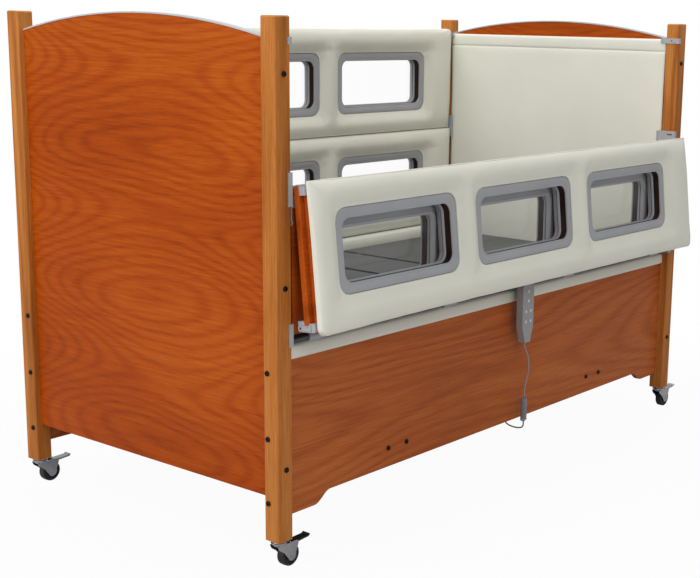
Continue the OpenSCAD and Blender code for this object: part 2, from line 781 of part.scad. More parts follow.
module rail_latches(side, is_upper) {
  color("silver") on_stand() place_rail(side, is_upper) for (end = [FOOT, HEAD]) to_end(end)
    along_x(-rail_half - lever_gap - lever_t, -rail_half - lever_gap)
      lever_outline(is_upper ? upper_tab : lower_tab, strike_s - 5);
}

// Deck sections
module eye(t) {
  along_y(-t / 2, t / 2) difference() {
    union() {
      circle(ear_r, $fn = 32);
      translate([0, -14]) square([7, 14]);
      translate([0, -20]) square([45, 20 - deck_t / 2]);
    }
    circle(ear_pin_r + hinge_clear, $fn = 32);
  }
}
// Moving eyes of a section that lies on the +X side of its hinge; the board starts past the gap
module eyes_moving(dir) {
  for (y = [-ear_y, ear_y]) translate([0, y, 0]) mirror([dir < 0 ? 1 : 0, 0, 0]) eye(ear_t);
}
// Fixed cheeks either side of a moving eye, with the pin through them
module eyes_fixed(dir) {
  for (y = [-ear_y, ear_y]) translate([0, y, 0]) {
    for (s = [-1, 1]) translate([0, s * (ear_t / 2 + ear_side_gap + ear_side_t / 2), 0])
      mirror([dir < 0 ? 1 : 0, 0, 0]) eye(ear_side_t);
    rotate([90, 0, 0]) cylinder(h = ear_t + 2 * (ear_side_gap + ear_side_t), r = ear_pin_r, center = true, $fn = 32);
  }
}
module deck_board(x0, x1) {
  z = pivot_z;
  box([x0, -deck_w / 2, z - deck_t / 2], [x1, deck_w / 2, z + deck_t / 2]);
}
module battens(x0, x1) {
  for (y = [-frame_y, frame_y])
    box([x0, y - batten_w / 2, pivot_z - deck_t / 2 - batten_t], [x1, y + batten_w / 2, pivot_z - deck_t / 2]);
}
// Arm under a section that carries the pin of its actuator
module lift_arm(dir, y, rest) {
  pin_x = arm_r * cos(rest);
  pin_z = arm_r * sin(rest);
  translate([0, y, 0]) {
    along_y(-arm_t / 2, arm_t / 2) {
      translate([pin_x, pin_z]) circle(13, $fn = 32);
      polygon([
        [dir * 20, -deck_t / 2], [dir * 95, -deck_t / 2], [dir * 60, -45],
        [pin_x + 13 * dir * 0.8, pin_z - 10], [pin_x - 13 * dir * 0.8, pin_z + 10], [dir * 8, -30]
      ]);
    }
    translate([pin_x, 0, pin_z]) rotate([90, 0, 0]) cylinder(h = fork_w, r = arm_pin_r, center = true, $fn = 32);
  }
}
module seat_deck() {
  color("dimgray") on_stand() {
    deck_board(thigh_hinge_x + joint_gap, head_hinge_x - joint_gap);
    translate([head_hinge_x, 0, pivot_z]) eyes_fixed(-1);
    translate([thigh_hinge_x, 0, pivot_z]) eyes_fixed(1);
    battens(thigh_hinge_x + 60, head_hinge_x - 60);
  }
}
module head_deck() {
  color("dimgray") on_stand() {
    deck_board(head_hinge_x + joint_gap, deck_end);
    battens(head_hinge_x + 60, deck_end - 8);
    translate([head_hinge_x, 0, pivot_z]) {
      eyes_moving(1);
      lift_arm(1, arm_y, head_arm_rest);
    }
  }
}
module thigh_deck() {
  color("dimgray") on_stand() {
    deck_board(calf_hinge_x + joint_gap, thigh_hinge_x - joint_gap);
    battens(calf_hinge_x + 60, thigh_hinge_x - 60);
    translate([thigh_hinge_x, 0, pivot_z]) {
      eyes_moving(-1);
      lift_arm(-1, -arm_y, thigh_arm_rest);
    }
    translate([calf_hinge_x, 0, pivot_z]) eyes_fixed(1);
  }
}
module calf_deck() {
  color("dimgray") on_stand() {
    deck_board(-deck_end, calf_hinge_x - joint_gap);
    battens(-deck_end + 8, calf_hinge_x - 60);
    translate([calf_hinge_x, 0, pivot_z]) eyes_moving(-1);
  }
}

// Steel frame under the deck, carried by two low beams between the skirts
module deck_frame() {
  color("slategray") on_stand() {
    for (y = [-frame_y, frame_y])
      box([-frame_end, y - beam / 2, frame_top - beam], [frame_end, y + beam / 2, frame_top]);
    for (x = [-frame_end + beam / 2, head_rear_x, leg_rear_x, frame_end - beam / 2])
      box([x - beam / 2, -frame_y + beam / 2, frame_top - beam], [x + beam / 2, frame_y - beam / 2, frame_top]);
    for (x = [-low_beam_x, low_beam_x]) {
      difference() {
        box([x - low_beam_w / 2, -skirt_in_y, low_beam_z], [x + low_beam_w / 2, skirt_in_y, low_beam_z + low_beam_h]);
        for (side = [FRONT, BACK], b = low_bolt_x) to_side(side) beam_bolt_at(x < 0 ? -b : b) bolt_hole();
      }
      for (y = [-frame_y, frame_y])
        box([x - beam / 2, y - beam / 2, low_beam_z + low_beam_h], [x + beam / 2, y + beam / 2, frame_top - beam]);
    }
    rear_bracket(head_rear_x, arm_y, rod_height(head_swing));
    rear_bracket(leg_rear_x, -arm_y, rod_height(thigh_swing));
  }
}
// Height of a push rod: the middle of the arc that its pin climbs
function rod_height(swing) = pivot_z - arm_r * (1 + cos(swing / 2)) / 2;
function slot_rise(swing) = arm_r * (1 - cos(swing / 2));
module rear_bracket(x, y, z) {
  for (s = [-1, 1]) box([x - 14, y + s * 20 - 3, z - 14], [x + 14, y + s * 20 + 3, frame_top - beam]);
  translate([x, y, z]) rotate([90, 0, 0]) cylinder(h = 46, r = arm_pin_r, center = true, $fn = 32);
}

// Actuators: gearbox, motor and guide tube are one housing; the push rod slides in the guide
module actuator_housing(dir) {
  front = gear_l + 22;
  difference() {
    union() {
      rotate([90, 0, 0]) cylinder(h = 32, r = 12, center = true, $fn = 32);
      box([dir > 0 ? 0 : -30, -8, -8], [dir > 0 ? 30 : 0, 8, 8]);
      box([dir > 0 ? 22 : -front, -gear_w / 2, -gear_w / 2], [dir > 0 ? front : -22, gear_w / 2, gear_w / 2]);
      translate([dir * (22 + gear_l / 2), 0, -gear_w / 2 - motor_r + 6]) rotate([0, dir * 90, 0])
        cylinder(h = motor_l, r = motor_r, $fn = 40);
      translate([dir * (front - 2), 0, 0]) rotate([0, dir * 90, 0]) cylinder(h = guide_l + 2, d = guide_d, $fn = 40);
    }
    rotate([90, 0, 0]) cylinder(h = 34, r = arm_pin_r + hinge_clear, center = true, $fn = 32);
    translate([dir * (front + guide_l - rod_inside - 30), 0, 0]) rotate([0, dir * 90, 0])
      cylinder(h = rod_inside + 40, r = rod_d / 2 + hinge_clear, $fn = 40);
  }
}
module actuator_housings() {
  color("#303030") on_stand() {
    translate([head_rear_x, arm_y, rod_height(head_swing)]) actuator_housing(1);
    translate([leg_rear_x, -arm_y, rod_height(thigh_swing)]) actuator_housing(-1);
  }
}
// Push rod with its slotted fork; x is the place of the arm's pin at rest
module push_rod(x, y, dir, swing, rear_x) {
  z = rod_height(swing);
  slot_h = 2 * arm_pin_r + slot_rise(swing) + 0.8;
  slot_w = 2 * arm_pin_r + 3;
  rod_end = rear_x + dir * (gear_l + 22 + guide_l - rod_inside);
  translate([0, y, z]) {
    difference() {
      box([x - fork_l / 2, -fork_w / 2, -slot_h / 2 - 8], [x + fork_l / 2, fork_w / 2, slot_h / 2 + 8]);
      box([x - slot_w / 2, -fork_w, -slot_h / 2], [x + slot_w / 2, fork_w, slot_h / 2]);
      box([x - fork_l, -fork_w / 2 + cheek_w, -slot_h], [x + fork_l, fork_w / 2 - cheek_w, slot_h]);
    }
    box([min(x - dir * fork_l / 2, x - dir * (fork_l / 2 + 8)), -fork_w / 2, -slot_h / 2 - 8],
        [max(x - dir * fork_l / 2, x - dir * (fork_l / 2 + 8)), fork_w / 2, slot_h / 2 + 8]);
    translate([rod_end, 0, 0]) rotate([0, dir * 90, 0])
      cylinder(h = abs(x - rod_end) - fork_l / 2 - 4, d = rod_d, $fn = 40);
  }
}
module head_actuator_rod() {
  color("silver") on_stand()
    push_rod(head_hinge_x + arm_r * cos(head_arm_rest), arm_y, 1, head_swing, head_rear_x);
}
module leg_actuator_rod() {
  color("silver") on_stand()
    push_rod(thigh_hinge_x + arm_r * cos(thigh_arm_rest), -arm_y, -1, thigh_swing, leg_rear_x);
}

// Control box on the inner face of the front skirt
box_x0 = -10;
box_l = 140;
box_d = 50;
box_h = 100;
box_z = 105;
module control_box() {
  color("#303030") on_stand() translate([box_x0, -skirt_in_y, box_z]) difference() {
    box([0, 0, 0], [box_l, box_d, box_h]);
    translate([box_l - 28, box_d / 2, -1]) linear_extrude(13) round_rect(30, 22, 3);
  }
}

// Hook of the handset, on the front of the lower rail
module handset_hook() {
  ear_w = 2.5;
  half = 9;
  plate_z = lower_axis + lower_bottom + 3;
  for (s = [-1, 1]) translate([handset_x + s * half - ear_w / 2, 0, 0]) along_x(0, ear_w) {
    translate([hook_y, hook_z]) circle(4.6, $fn = 32);
    polygon([[-rail_y, plate_z], [-rail_y, plate_z + 24], [-rail_y - 6, plate_z + 24],
      [hook_y - 3, hook_z + 3.4], [hook_y + 3, hook_z - 3.4]]);
  }
  box([handset_x - half - ear_w / 2, -rail_y - 2, plate_z], [handset_x + half + ear_w / 2, -rail_y, plate_z + 24]);
  translate([handset_x - half, hook_y, hook_z]) rotate([0, 90, 0]) cylinder(h = 2 * half, r = hook_pin_r, $fn = 32);
}

// Handset: tapered shell that hangs by its eye, with six raised keys
module handset() {
  w = handset_w / 2;
  neck = 16;
  front = handset_back + handset_t;
  key_rows = [[handset_top - 24, 0], [handset_top - 56, 0], [handset_top - 90, 1], [handset_top - 124, 1]];
  color("darkgrey") on_stand() translate([handset_x, 0, 0]) {
    along_y(-front, -handset_back) difference() {
      polygon([
        for (a = [0 : 15 : 90]) [w - 10 + 10 * cos(a), handset_top - 10 + 10 * sin(a)],
        for (a = [90 : 15 : 180]) [-w + 10 + 10 * cos(a), handset_top - 10 + 10 * sin(a)],
        [-w, handset_low + 70],
        for (t = [0 : 0.25 : 1]) [-w + (w - neck) * smooth(t), handset_low + 60 - 60 * t],
        for (t = [1 : -0.25 : 0]) [w - (w - neck) * smooth(t), handset_low + 60 - 60 * t],
        [w, handset_low + 70]
      ]);
    }
    for (row = key_rows) for (k = [0 : row[1]])
      translate([row[1] == 0 ? 0 : (k - 0.5) * 26, -front + 1, row[0]]) rotate([90, 0, 0])
        cylinder(h = 2.5, r = 5, $fn = 32);
    difference() {
      along_x(-6.5, 6.5) {
        translate([hook_y, hook_z]) circle(7, $fn = 32);
        translate([hook_y - 6, handset_top - 4]) square([12, hook_z - handset_top + 4]);
      }
      translate([-8, hook_y, hook_z]) rotate([0, 90, 0]) cylinder(h = 16, r = hook_pin_r + hinge_clear, $fn = 32);
    }
  }
}

// Cord: points chosen along the real route, from the handset down to the curls and under the skirt
cord_y = hook_y;
lead_route = [
  [45, cord_y, 364.6], [45, cord_y, 359], [49, cord_y, 346], [61, cord_y, 326], [73, cord_y + 1, 302],
  [77, cord_y + 2, 272], [73, cord_y + 4, 238], [65, cord_y + 6, 206], [62, cord_y + 6, 184], [62, cord_y + 6, 176]
];
coil_x = 62;
coil_y = cord_y + 6;
coil_top = 176;
coil_low = 84;
tail_route = [
  [62, cord_y + 6, 84], [62, cord_y + 6, 76], [62, cord_y + 12, 66], [62, cord_y + 30, 61],
  [61, cord_y + 56, 62], [60, cord_y + 74, 69], [60, cord_y + 81, 82], [60, cord_y + 82, 98], [60, cord_y + 82, 105]
];
// Point on a smooth curve through a route's points
function on_route(p, i, t) =
  let (
    n = len(p) - 1, a = p[max(0, i - 1)], b = p[i], c = p[min(n, i + 1)], d = p[min(n, i + 2)]
  ) b + ((c - a) * t + (2 * a - 5 * b + 4 * c - d) * t * t + (3 * b - a - 3 * c + d) * t * t * t) / 2;
function dense(p, steps) = concat(
  [for (i = [0 : len(p) - 2], k = [0 : steps - 1]) on_route(p, i, k / steps)], [p[len(p) - 1]]
);
// Tube along a list of points; side is a direction that the route never follows
module tube(p, r, sides, side_dir) {
  n = len(p);
  points = [for (i = [0 : n - 1])
    let (
      t = p[min(n - 1, i + 1)] - p[max(0, i - 1)],
      dir = is_list(side_dir[0]) ? side_dir[i] : side_dir,
      t1 = t / norm(t), a = cross(t1, dir), a1 = a / norm(a), b1 = cross(t1, a1)
    )
    each [for (k = [0 : sides - 1]) p[i] + r * (cos(360 * k / sides) * a1 + sin(360 * k / sides) * b1)]
  ];
  last = (n - 1) * sides;
  faces = concat(
    [for (i = [0 : n - 2], k = [0 : sides - 1])
      let (a = i * sides + k, b = i * sides + (k + 1) % sides)
      each [[a, b + sides, b], [a, a + sides, b + sides]]],
    [for (k = [1 : sides - 2]) [0, k, k + 1]],
    [for (k = [1 : sides - 2]) [last, last + k + 1, last + k]]
  );
  polyhedron(points, faces, convexity = 10);
}
module handset_cord_lead() {
  color("grey") on_stand() tube(dense(lead_route, 2), cord_d / 2, 8, [0, 1, 0]);
}
module handset_cord_tail() {
  color("grey") on_stand() tube(dense(tail_route, 2), cord_d / 2, 8, [1, 0, 0]);
}
// Curls: one tube that winds round an upright axis and ends straight on it
curl_steps = 8;
curl_r = curl_d / 2 - cord_d / 2;
coil_count = curls * curl_steps;
coil_points = [
  [0, 0, coil_top], for (k = [0 : coil_count])
    let (
      a = 360 * k / curl_steps,
      r = curl_r * smooth(min(k, coil_count - k) / 4),
      z = coil_top - cord_d - 1 - (coil_top - coil_low - 2 * cord_d - 2) * k / coil_count
    ) [r * cos(a), r * sin(a), z],
  [0, 0, coil_low]
];
coil_sides = [
  [-1, 0, 0], for (k = [0 : coil_count]) let (a = 360 * k / curl_steps) [-cos(a), -sin(a), 0], [-1, 0, 0]
];
coil_gap = min([for (i = [0 : coil_count - 5]) min([for (k = [i + 5 : min(i + 12, coil_count + 2)])
  norm(coil_points[i] - coil_points[k])])]) - cord_d;
module handset_cord_coil() {
  color("grey") on_stand() translate([coil_x, coil_y, 0]) tube(coil_points, cord_d / 2, 6, coil_sides);
}

// Casters, built round the swivel axis with the foot of the post at z = 0
stem_r = 5.5;
stem_l = 38;
axle_r = 4;
fork_in = wheel_w / 2 + 2;
cheek_r = 16;
pedal_x = trail + 18;
pedal_z = -head_h;
pedal_r = 4.2;
pedal_pin_r = 2.5;
module at_caster(end, side) {
  on_stand() translate([end * post_x, side * post_y, 0]) children();
}
module cheek_outline() {
  difference() {
    polygon([
      [-20, -washer_t - race_h], [trail - 10, -washer_t - race_h],
      [pedal_x - 2, pedal_z + 7], [pedal_x + 7, pedal_z + 2], [pedal_x + 6, pedal_z - 6],
      for (a = [20 : -20 : -160]) [trail + cheek_r * cos(a), axle_z + cheek_r * sin(a)],
      [4, axle_z + 14], [-14, -washer_t - race_h - 12]
    ]);
    translate([pedal_x, pedal_z]) circle(pedal_pin_r, $fn = 24);
  }
}
module caster_fork(end, side) {
  color("lightgrey") at_caster(end, side) {
    cylinder(h = stem_l, r = stem_r, $fn = 32);
    translate([0, 0, -washer_t]) cylinder(h = washer_t, r = 22, $fn = 48);
    translate([0, 0, -washer_t - race_h]) rotate_extrude($fn = 48) polygon([
      [0, 0], [20, 0], for (a = [-60 : 30 : 60]) [19 + 4 * cos(a), race_h / 2 + 4 * sin(a)], [20, race_h], [0, race_h]
    ]);
    translate([0, 0, -washer_t - race_h - crown_t]) difference() {
      linear_extrude(crown_t) {
        circle(fork_in + cheek_t, $fn = 48);
        translate([0, -fork_in - cheek_t]) square([trail - 12, 2 * (fork_in + cheek_t)]);
      }
    }
    for (s = [-1, 1]) translate([0, s * (fork_in + cheek_t / 2), 0])
      along_y(-cheek_t / 2, cheek_t / 2) cheek_outline();
    translate([trail, 0, axle_z]) rotate([90, 0, 0])
      cylinder(h = 2 * (fork_in + cheek_t) + 4, r = axle_r, center = true, $fn = 32);
    translate([pedal_x, 0, pedal_z]) rotate([90, 0, 0])
      cylinder(h = 2 * (fork_in + cheek_t) + 2, r = pedal_pin_r, center = true, $fn = 24);
  }
}
module caster_wheel(end, side) {
  r = wheel_d / 2;
  w = wheel_w / 2;
  color("#202020") at_caster(end, side) translate([trail, 0, axle_z]) rotate([90, 0, 0])
    rotate_extrude($fn = 72) polygon([
      [axle_r + hinge_clear, -w - 1], [9, -w - 1], [9, -w + 3], [r - 9, -w + 3], [r - 8, -w],
      [r - 4, -w], for (a = [-60 : 30 : 60]) [r - 4 + 4 * cos(a), (w - 4) * sign(a) + 4 * sin(a)],
      [r - 4, w], [r - 8, w], [r - 9, w - 3], [9, w - 3], [9, w + 1], [axle_r + hinge_clear, w + 1]
    ]);
}
module caster_pedal(end, side) {
  reach = trail + pedal_reach;
  hw = fork_in - 1;
  color("#202020") at_caster(end, side) difference() {
    along_y(-hw, hw) union() {
      translate([pedal_x, pedal_z]) circle(pedal_r, $fn = 32);
      polygon([
        [pedal_x, pedal_z - 3], [pedal_x + 20, pedal_z - 1], [reach - 6, pedal_z + 1],
        [reach, pedal_z + 6], [reach - 2, pedal_z + 9], [reach - 9, pedal_z + 5],
        [pedal_x + 18, pedal_z + 4], [pedal_x, pedal_z + 4]
      ]);
    }
    translate([pedal_x, 0, pedal_z]) rotate([90, 0, 0])
      cylinder(h = 2 * hw + 2, r = pedal_pin_r + hinge_clear, center = true, $fn = 24);
  }
}

module post_front_foot() { corner_post(FOOT, FRONT); }
module post_front_head() { corner_post(HEAD, FRONT); }
module post_back_foot() { corner_post(FOOT, BACK); }
module post_back_head() { corner_post(HEAD, BACK); }
module foot_end_panel() { end_panel(FOOT); }
module head_end_panel() { end_panel(HEAD); }
module foot_end_pad() { end_pad(FOOT); }
module head_end_pad() { end_pad(HEAD); }
module front_skirt() { skirt(FRONT); }
module back_skirt() { skirt(BACK); }

echo(least_gap_between_curls = coil_gap);
echo(stand = [stand_x, stand_y, caster_h]);
echo(rod_travel = [2 * arm_r * sin(head_swing / 2), 2 * arm_r * sin(thigh_swing / 2)]);

post_front_foot();
post_front_head();
post_back_foot();
post_back_head();
foot_end_panel();
head_end_panel();
end_edge_trims();
foot_end_pad();
head_end_pad();
front_skirt();
back_skirt();
sill_pads();
side_tubes();
post_brackets();
frame_bolts();
deck_frame();
seat_deck();
head_deck();
thigh_deck();
calf_deck();
control_box();
actuator_housings();
head_actuator_rod();
leg_actuator_rod();
handset();
handset_cord_lead();
handset_cord_coil();
handset_cord_tail();
rail_board(FRONT, false);  // front_lower_board
rail_pad(FRONT, false);  // front_lower_pad
rail_windows(FRONT, false);  // front_lower_windows
rail_fittings(FRONT, false);  // front_lower_fittings
rail_latches(FRONT, false);  // front_lower_latches
rail_board(FRONT, true);  // front_upper_board
rail_pad(FRONT, true);  // front_upper_pad
rail_windows(FRONT, true);  // front_upper_windows
rail_fittings(FRONT, true);  // front_upper_fittings
rail_latches(FRONT, true);  // front_upper_latches
rail_board(BACK, false);  // back_lower_board
rail_pad(BACK, false);  // back_lower_pad
rail_windows(BACK, false);  // back_lower_windows
rail_fittings(BACK, false);  // back_lower_fittings
rail_latches(BACK, false);  // back_lower_latches
rail_board(BACK, true);  // back_upper_board
rail_pad(BACK, true);  // back_upper_pad
rail_windows(BACK, true);  // back_upper_windows
rail_fittings(BACK, true);  // back_upper_fittings
rail_latches(BACK, true);  // back_upper_latches
caster_fork(FOOT, FRONT);  // caster_front_foot_fork
caster_wheel(FOOT, FRONT);  // caster_front_foot_wheel
caster_pedal(FOOT, FRONT);  // caster_front_foot_pedal
caster_fork(HEAD, FRONT);  // caster_front_head_fork
caster_wheel(HEAD, FRONT);  // caster_front_head_wheel
caster_pedal(HEAD, FRONT);  // caster_front_head_pedal
caster_fork(FOOT, BACK);  // caster_back_foot_fork
caster_wheel(FOOT, BACK);  // caster_back_foot_wheel
caster_pedal(FOOT, BACK);  // caster_back_foot_pedal
caster_fork(HEAD, BACK);  // caster_back_head_fork
caster_wheel(HEAD, BACK);  // caster_back_head_wheel
caster_pedal(HEAD, BACK);  // caster_back_head_pedal
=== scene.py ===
import math
import bmesh
import bpy
import numpy as np
from mathutils import Matrix, Vector, noise


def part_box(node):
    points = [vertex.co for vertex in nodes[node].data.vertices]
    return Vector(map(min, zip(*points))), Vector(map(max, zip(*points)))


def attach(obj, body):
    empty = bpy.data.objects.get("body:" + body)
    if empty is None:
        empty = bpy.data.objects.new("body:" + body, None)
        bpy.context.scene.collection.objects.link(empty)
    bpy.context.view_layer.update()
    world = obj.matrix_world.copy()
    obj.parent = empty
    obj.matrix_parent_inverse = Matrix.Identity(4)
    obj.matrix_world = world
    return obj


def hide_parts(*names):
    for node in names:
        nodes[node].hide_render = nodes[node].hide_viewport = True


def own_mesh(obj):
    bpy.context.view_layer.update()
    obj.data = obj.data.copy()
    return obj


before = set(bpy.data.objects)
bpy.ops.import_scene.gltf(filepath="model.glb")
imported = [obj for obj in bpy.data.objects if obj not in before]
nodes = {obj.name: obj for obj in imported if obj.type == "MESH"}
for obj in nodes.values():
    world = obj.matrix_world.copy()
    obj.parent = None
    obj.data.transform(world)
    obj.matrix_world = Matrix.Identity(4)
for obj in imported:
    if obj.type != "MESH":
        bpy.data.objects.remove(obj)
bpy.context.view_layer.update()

scene = bpy.context.scene

SIDES = ("front", "back")
LEVELS = ("lower", "upper")
ENDS = ("foot", "head")

# Bed measures in millimetres, centred on the bed, heights over the feet of the posts
POST_X, POST_Y = 1075.0, 564.0
RAIL_Y = 560.0
HINGE_Z = {"lower": 553.0, "upper": 965.0}
BACK_SHIFT = 9.0

# Front upper rail: where its hinge axis lies inwards of the outer face, and how far it is folded
HINGE_D = -3.0
FOLD = math.radians(174)

# Windows: middles along and up each rail, size, corner and width of the ring, depth of its inner face
WINDOW_X = [-659.0, -43.0, 579.0]
WINDOW_Z = {"lower": 196.0, "upper": 184.0}
RING_L, RING_H, RING_R, RING_W = 520.0, 232.0, 39.0, 25.5
LIP_H = RING_W + 3.5
HOLE_R = RING_R - 9.0
RING_FACE = 47.0

# Rail cushions: lower and upper edge over the hinge line, half length, depth of the back, thickness
PAD_LOW = {"lower": 0.0, "upper": -12.5}
PAD_HIGH = {"lower": 397.5, "upper": 396.0}
PAD_HALF = 1010.0
PAD_BACK = 41.3
PAD_T = 26.0

post_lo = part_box("post_front_foot")[0]
SHIFT = np.array([post_lo.x + POST_X / 1000.0, post_lo.y + POST_Y / 1000.0, post_lo.z])


def to_frame(points):
    """Bed millimetres to metres in the shared frame."""
    return np.asarray(points, float) / 1000.0 + SHIFT


def rail_points(points, side, level):
    """Rail coordinates (along, inwards, up from the hinge line) to bed millimetres."""
    p = np.asarray(points, float)
    x, d, s = p[:, 0], p[:, 1], p[:, 2]
    if side == "front" and level == "upper":
        y = (d - HINGE_D) * math.cos(FOLD) - s * math.sin(FOLD)
        z = (d - HINGE_D) * math.sin(FOLD) + s * math.cos(FOLD)
        out = np.stack([x, -RAIL_Y + HINGE_D + y, HINGE_Z[level] + z], 1)
    else:
        out = np.stack([x, -RAIL_Y + d, HINGE_Z[level] + s], 1)
    if side == "back":
        out[:, 0] += BACK_SHIFT
        out[:, 1] *= -1
    return out


def smooth(t):
    """Eases from 0 to 1."""
    t = np.clip(t, 0, 1)
    return t * t * (3 - 2 * t)


def hills(x, y, scale, seed):
    """Smooth noise between about -1 and 1 at points given in millimetres."""
    return np.array([noise.noise(Vector((a / scale, b / scale, seed))) for a, b in zip(x, y)])


# Mesh helpers

def new_object(name, verts, faces, smooth_shade=True):
    mesh = bpy.data.meshes.new(name)
    mesh.from_pydata([tuple(v) for v in verts], [], [tuple(f) for f in faces])
    mesh.update()
    if smooth_shade:
        mesh.polygons.foreach_set("use_smooth", [True] * len(mesh.polygons))
    obj = bpy.data.objects.new(name, mesh)
    scene.collection.objects.link(obj)
    return obj


def get_co(obj):
    co = np.zeros(len(obj.data.vertices) * 3)
    obj.data.vertices.foreach_get("co", co)
    return co.reshape(-1, 3)


def set_co(obj, co):
    obj.data.vertices.foreach_set("co", np.asarray(co, float).ravel())
    obj.data.update()


def open_mesh(obj):
    bm = bmesh.new()
    bm.from_mesh(obj.data)
    return bm


def close_mesh(obj, bm):
    bm.to_mesh(obj.data)
    bm.free()
    obj.data.update()


def outward(obj):
    bm = open_mesh(obj)
    bmesh.ops.recalc_face_normals(bm, faces=bm.faces)
    close_mesh(obj, bm)


def shade_by_angle(obj, degrees=35):
    with bpy.context.temp_override(object=obj, active_object=obj, selected_editable_objects=[obj],
                                   selected_objects=[obj]):
        bpy.ops.object.shade_smooth_by_angle(angle=math.radians(degrees))


def spaced(a, b, step):
    """Places from a to b, about a step apart."""
    n = max(1, int(round((b - a) / step)))
    return list(np.linspace(a, b, n + 1))


def edge_lines(edge, r, steps):
    """Places from an edge inwards that follow a quarter round of radius r."""
    return [edge + r * (1 - math.cos(math.pi / 2 * k / steps)) for k in range(steps + 1)]


def sorted_lines(places):
    return np.array(sorted(set(np.round(places, 4))))


def even_lines(half, r, steps, step):
    """Places from -half to half, closer together at both round edges."""
    near = edge_lines(-half, r, steps)
    return sorted_lines(near + spaced(-half + r, half - r, step)[1:-1] + [-v for v in reversed(near)])


def grid_faces(n, m):
    """Squares of a grid of n by m points."""
    return [(i * m + j, (i + 1) * m + j, (i + 1) * m + j + 1, i * m + j + 1)
            for i in range(n - 1) for j in range(m - 1)]


def band_faces(rings, sides):
    """Squares between rings of points that follow one another."""
    faces = []
    for i in range(rings - 1):
        a, b = i * sides, (i + 1) * sides
        faces += [(a + k, a + (k + 1) % sides, b + (k + 1) % sides, b + k) for k in range(sides)]
    return faces


def draw_back(obj, axis, place):
    """Adds the flat side wall of a cover: its open edges run back to a plane at place metres."""
    bm = open_mesh(obj)
    made = bmesh.ops.extrude_edge_only(bm, edges=[e for e in bm.edges if e.is_boundary])
    for g in made["geom"]:
        if isinstance(g, bmesh.types.BMVert):
            g.co[axis] = place
        elif isinstance(g, bmesh.types.BMFace):
            g.smooth = False
    bmesh.ops.recalc_face_normals(bm, faces=bm.faces)
    close_mesh(obj, bm)


def face_along(obj, axis, sign):
    """Turns a cover over where its front doesn't face along the axis."""
    if sign * sum(p.normal[axis] * p.area for p in obj.data.polygons) < 0:
        bm = open_mesh(obj)
        bmesh.ops.reverse_faces(bm, faces=bm.faces)
        close_mesh(obj, bm)


def close_back(obj):
    """Fills the open loops of a shell, so that it is one closed body."""
    bm = open_mesh(obj)
    made = bmesh.ops.triangle_fill(bm, edges=[e for e in bm.edges if e.is_boundary], use_beauty=True)
    for g in made["geom"]:
        if isinstance(g, bmesh.types.BMFace):
            g.smooth = False
    bmesh.ops.recalc_face_normals(bm, faces=bm.faces)
    close_mesh(obj, bm)


STIFFNESS = 8.0


def puff(obj, pinned, pressure, cap, frames=14):
    """Swells a shell by cloth simulation; a point moves at most cap metres."""
    start = get_co(obj)
    group = obj.vertex_groups.new(name="pin")
    group.add([int(i) for i in pinned], 1.0, "REPLACE")
    mod = obj.modifiers.new("Cloth", "CLOTH")
    s = mod.settings
    s.quality = 4
    s.mass = 0.25
    s.tension_stiffness = STIFFNESS
    s.compression_stiffness = STIFFNESS
    s.shear_stiffness = STIFFNESS
    s.bending_stiffness = 1.5
    s.use_pressure = True
    s.uniform_pressure_force = pressure
    s.effector_weights.gravity = 0
    s.vertex_group_mass = "pin"
    mod.collision_settings.use_collision = False
    mod.point_cache.frame_start = 1
    mod.point_cache.frame_end = frames
    for f in range(1, frames + 1):
        scene.frame_set(f)
    swollen = obj.evaluated_get(bpy.context.evaluated_depsgraph_get())
    move = get_co(swollen) - start
    length = np.linalg.norm(move, axis=1)
    scale = cap * np.tanh(length / cap) / np.maximum(length, 1e-9)
    obj.modifiers.remove(mod)
    obj.vertex_groups.remove(group)
    set_co(obj, start + move * scale[:, None])
    scene.frame_set(1)


# Materials: every one is a small node tree

def srgb(r, g, b):
    def lin(c):
        c = c / 255.0
        return c / 12.92 if c <= 0.04045 else ((c + 0.055) / 1.055) ** 2.4
    return (lin(r), lin(g), lin(b), 1.0)


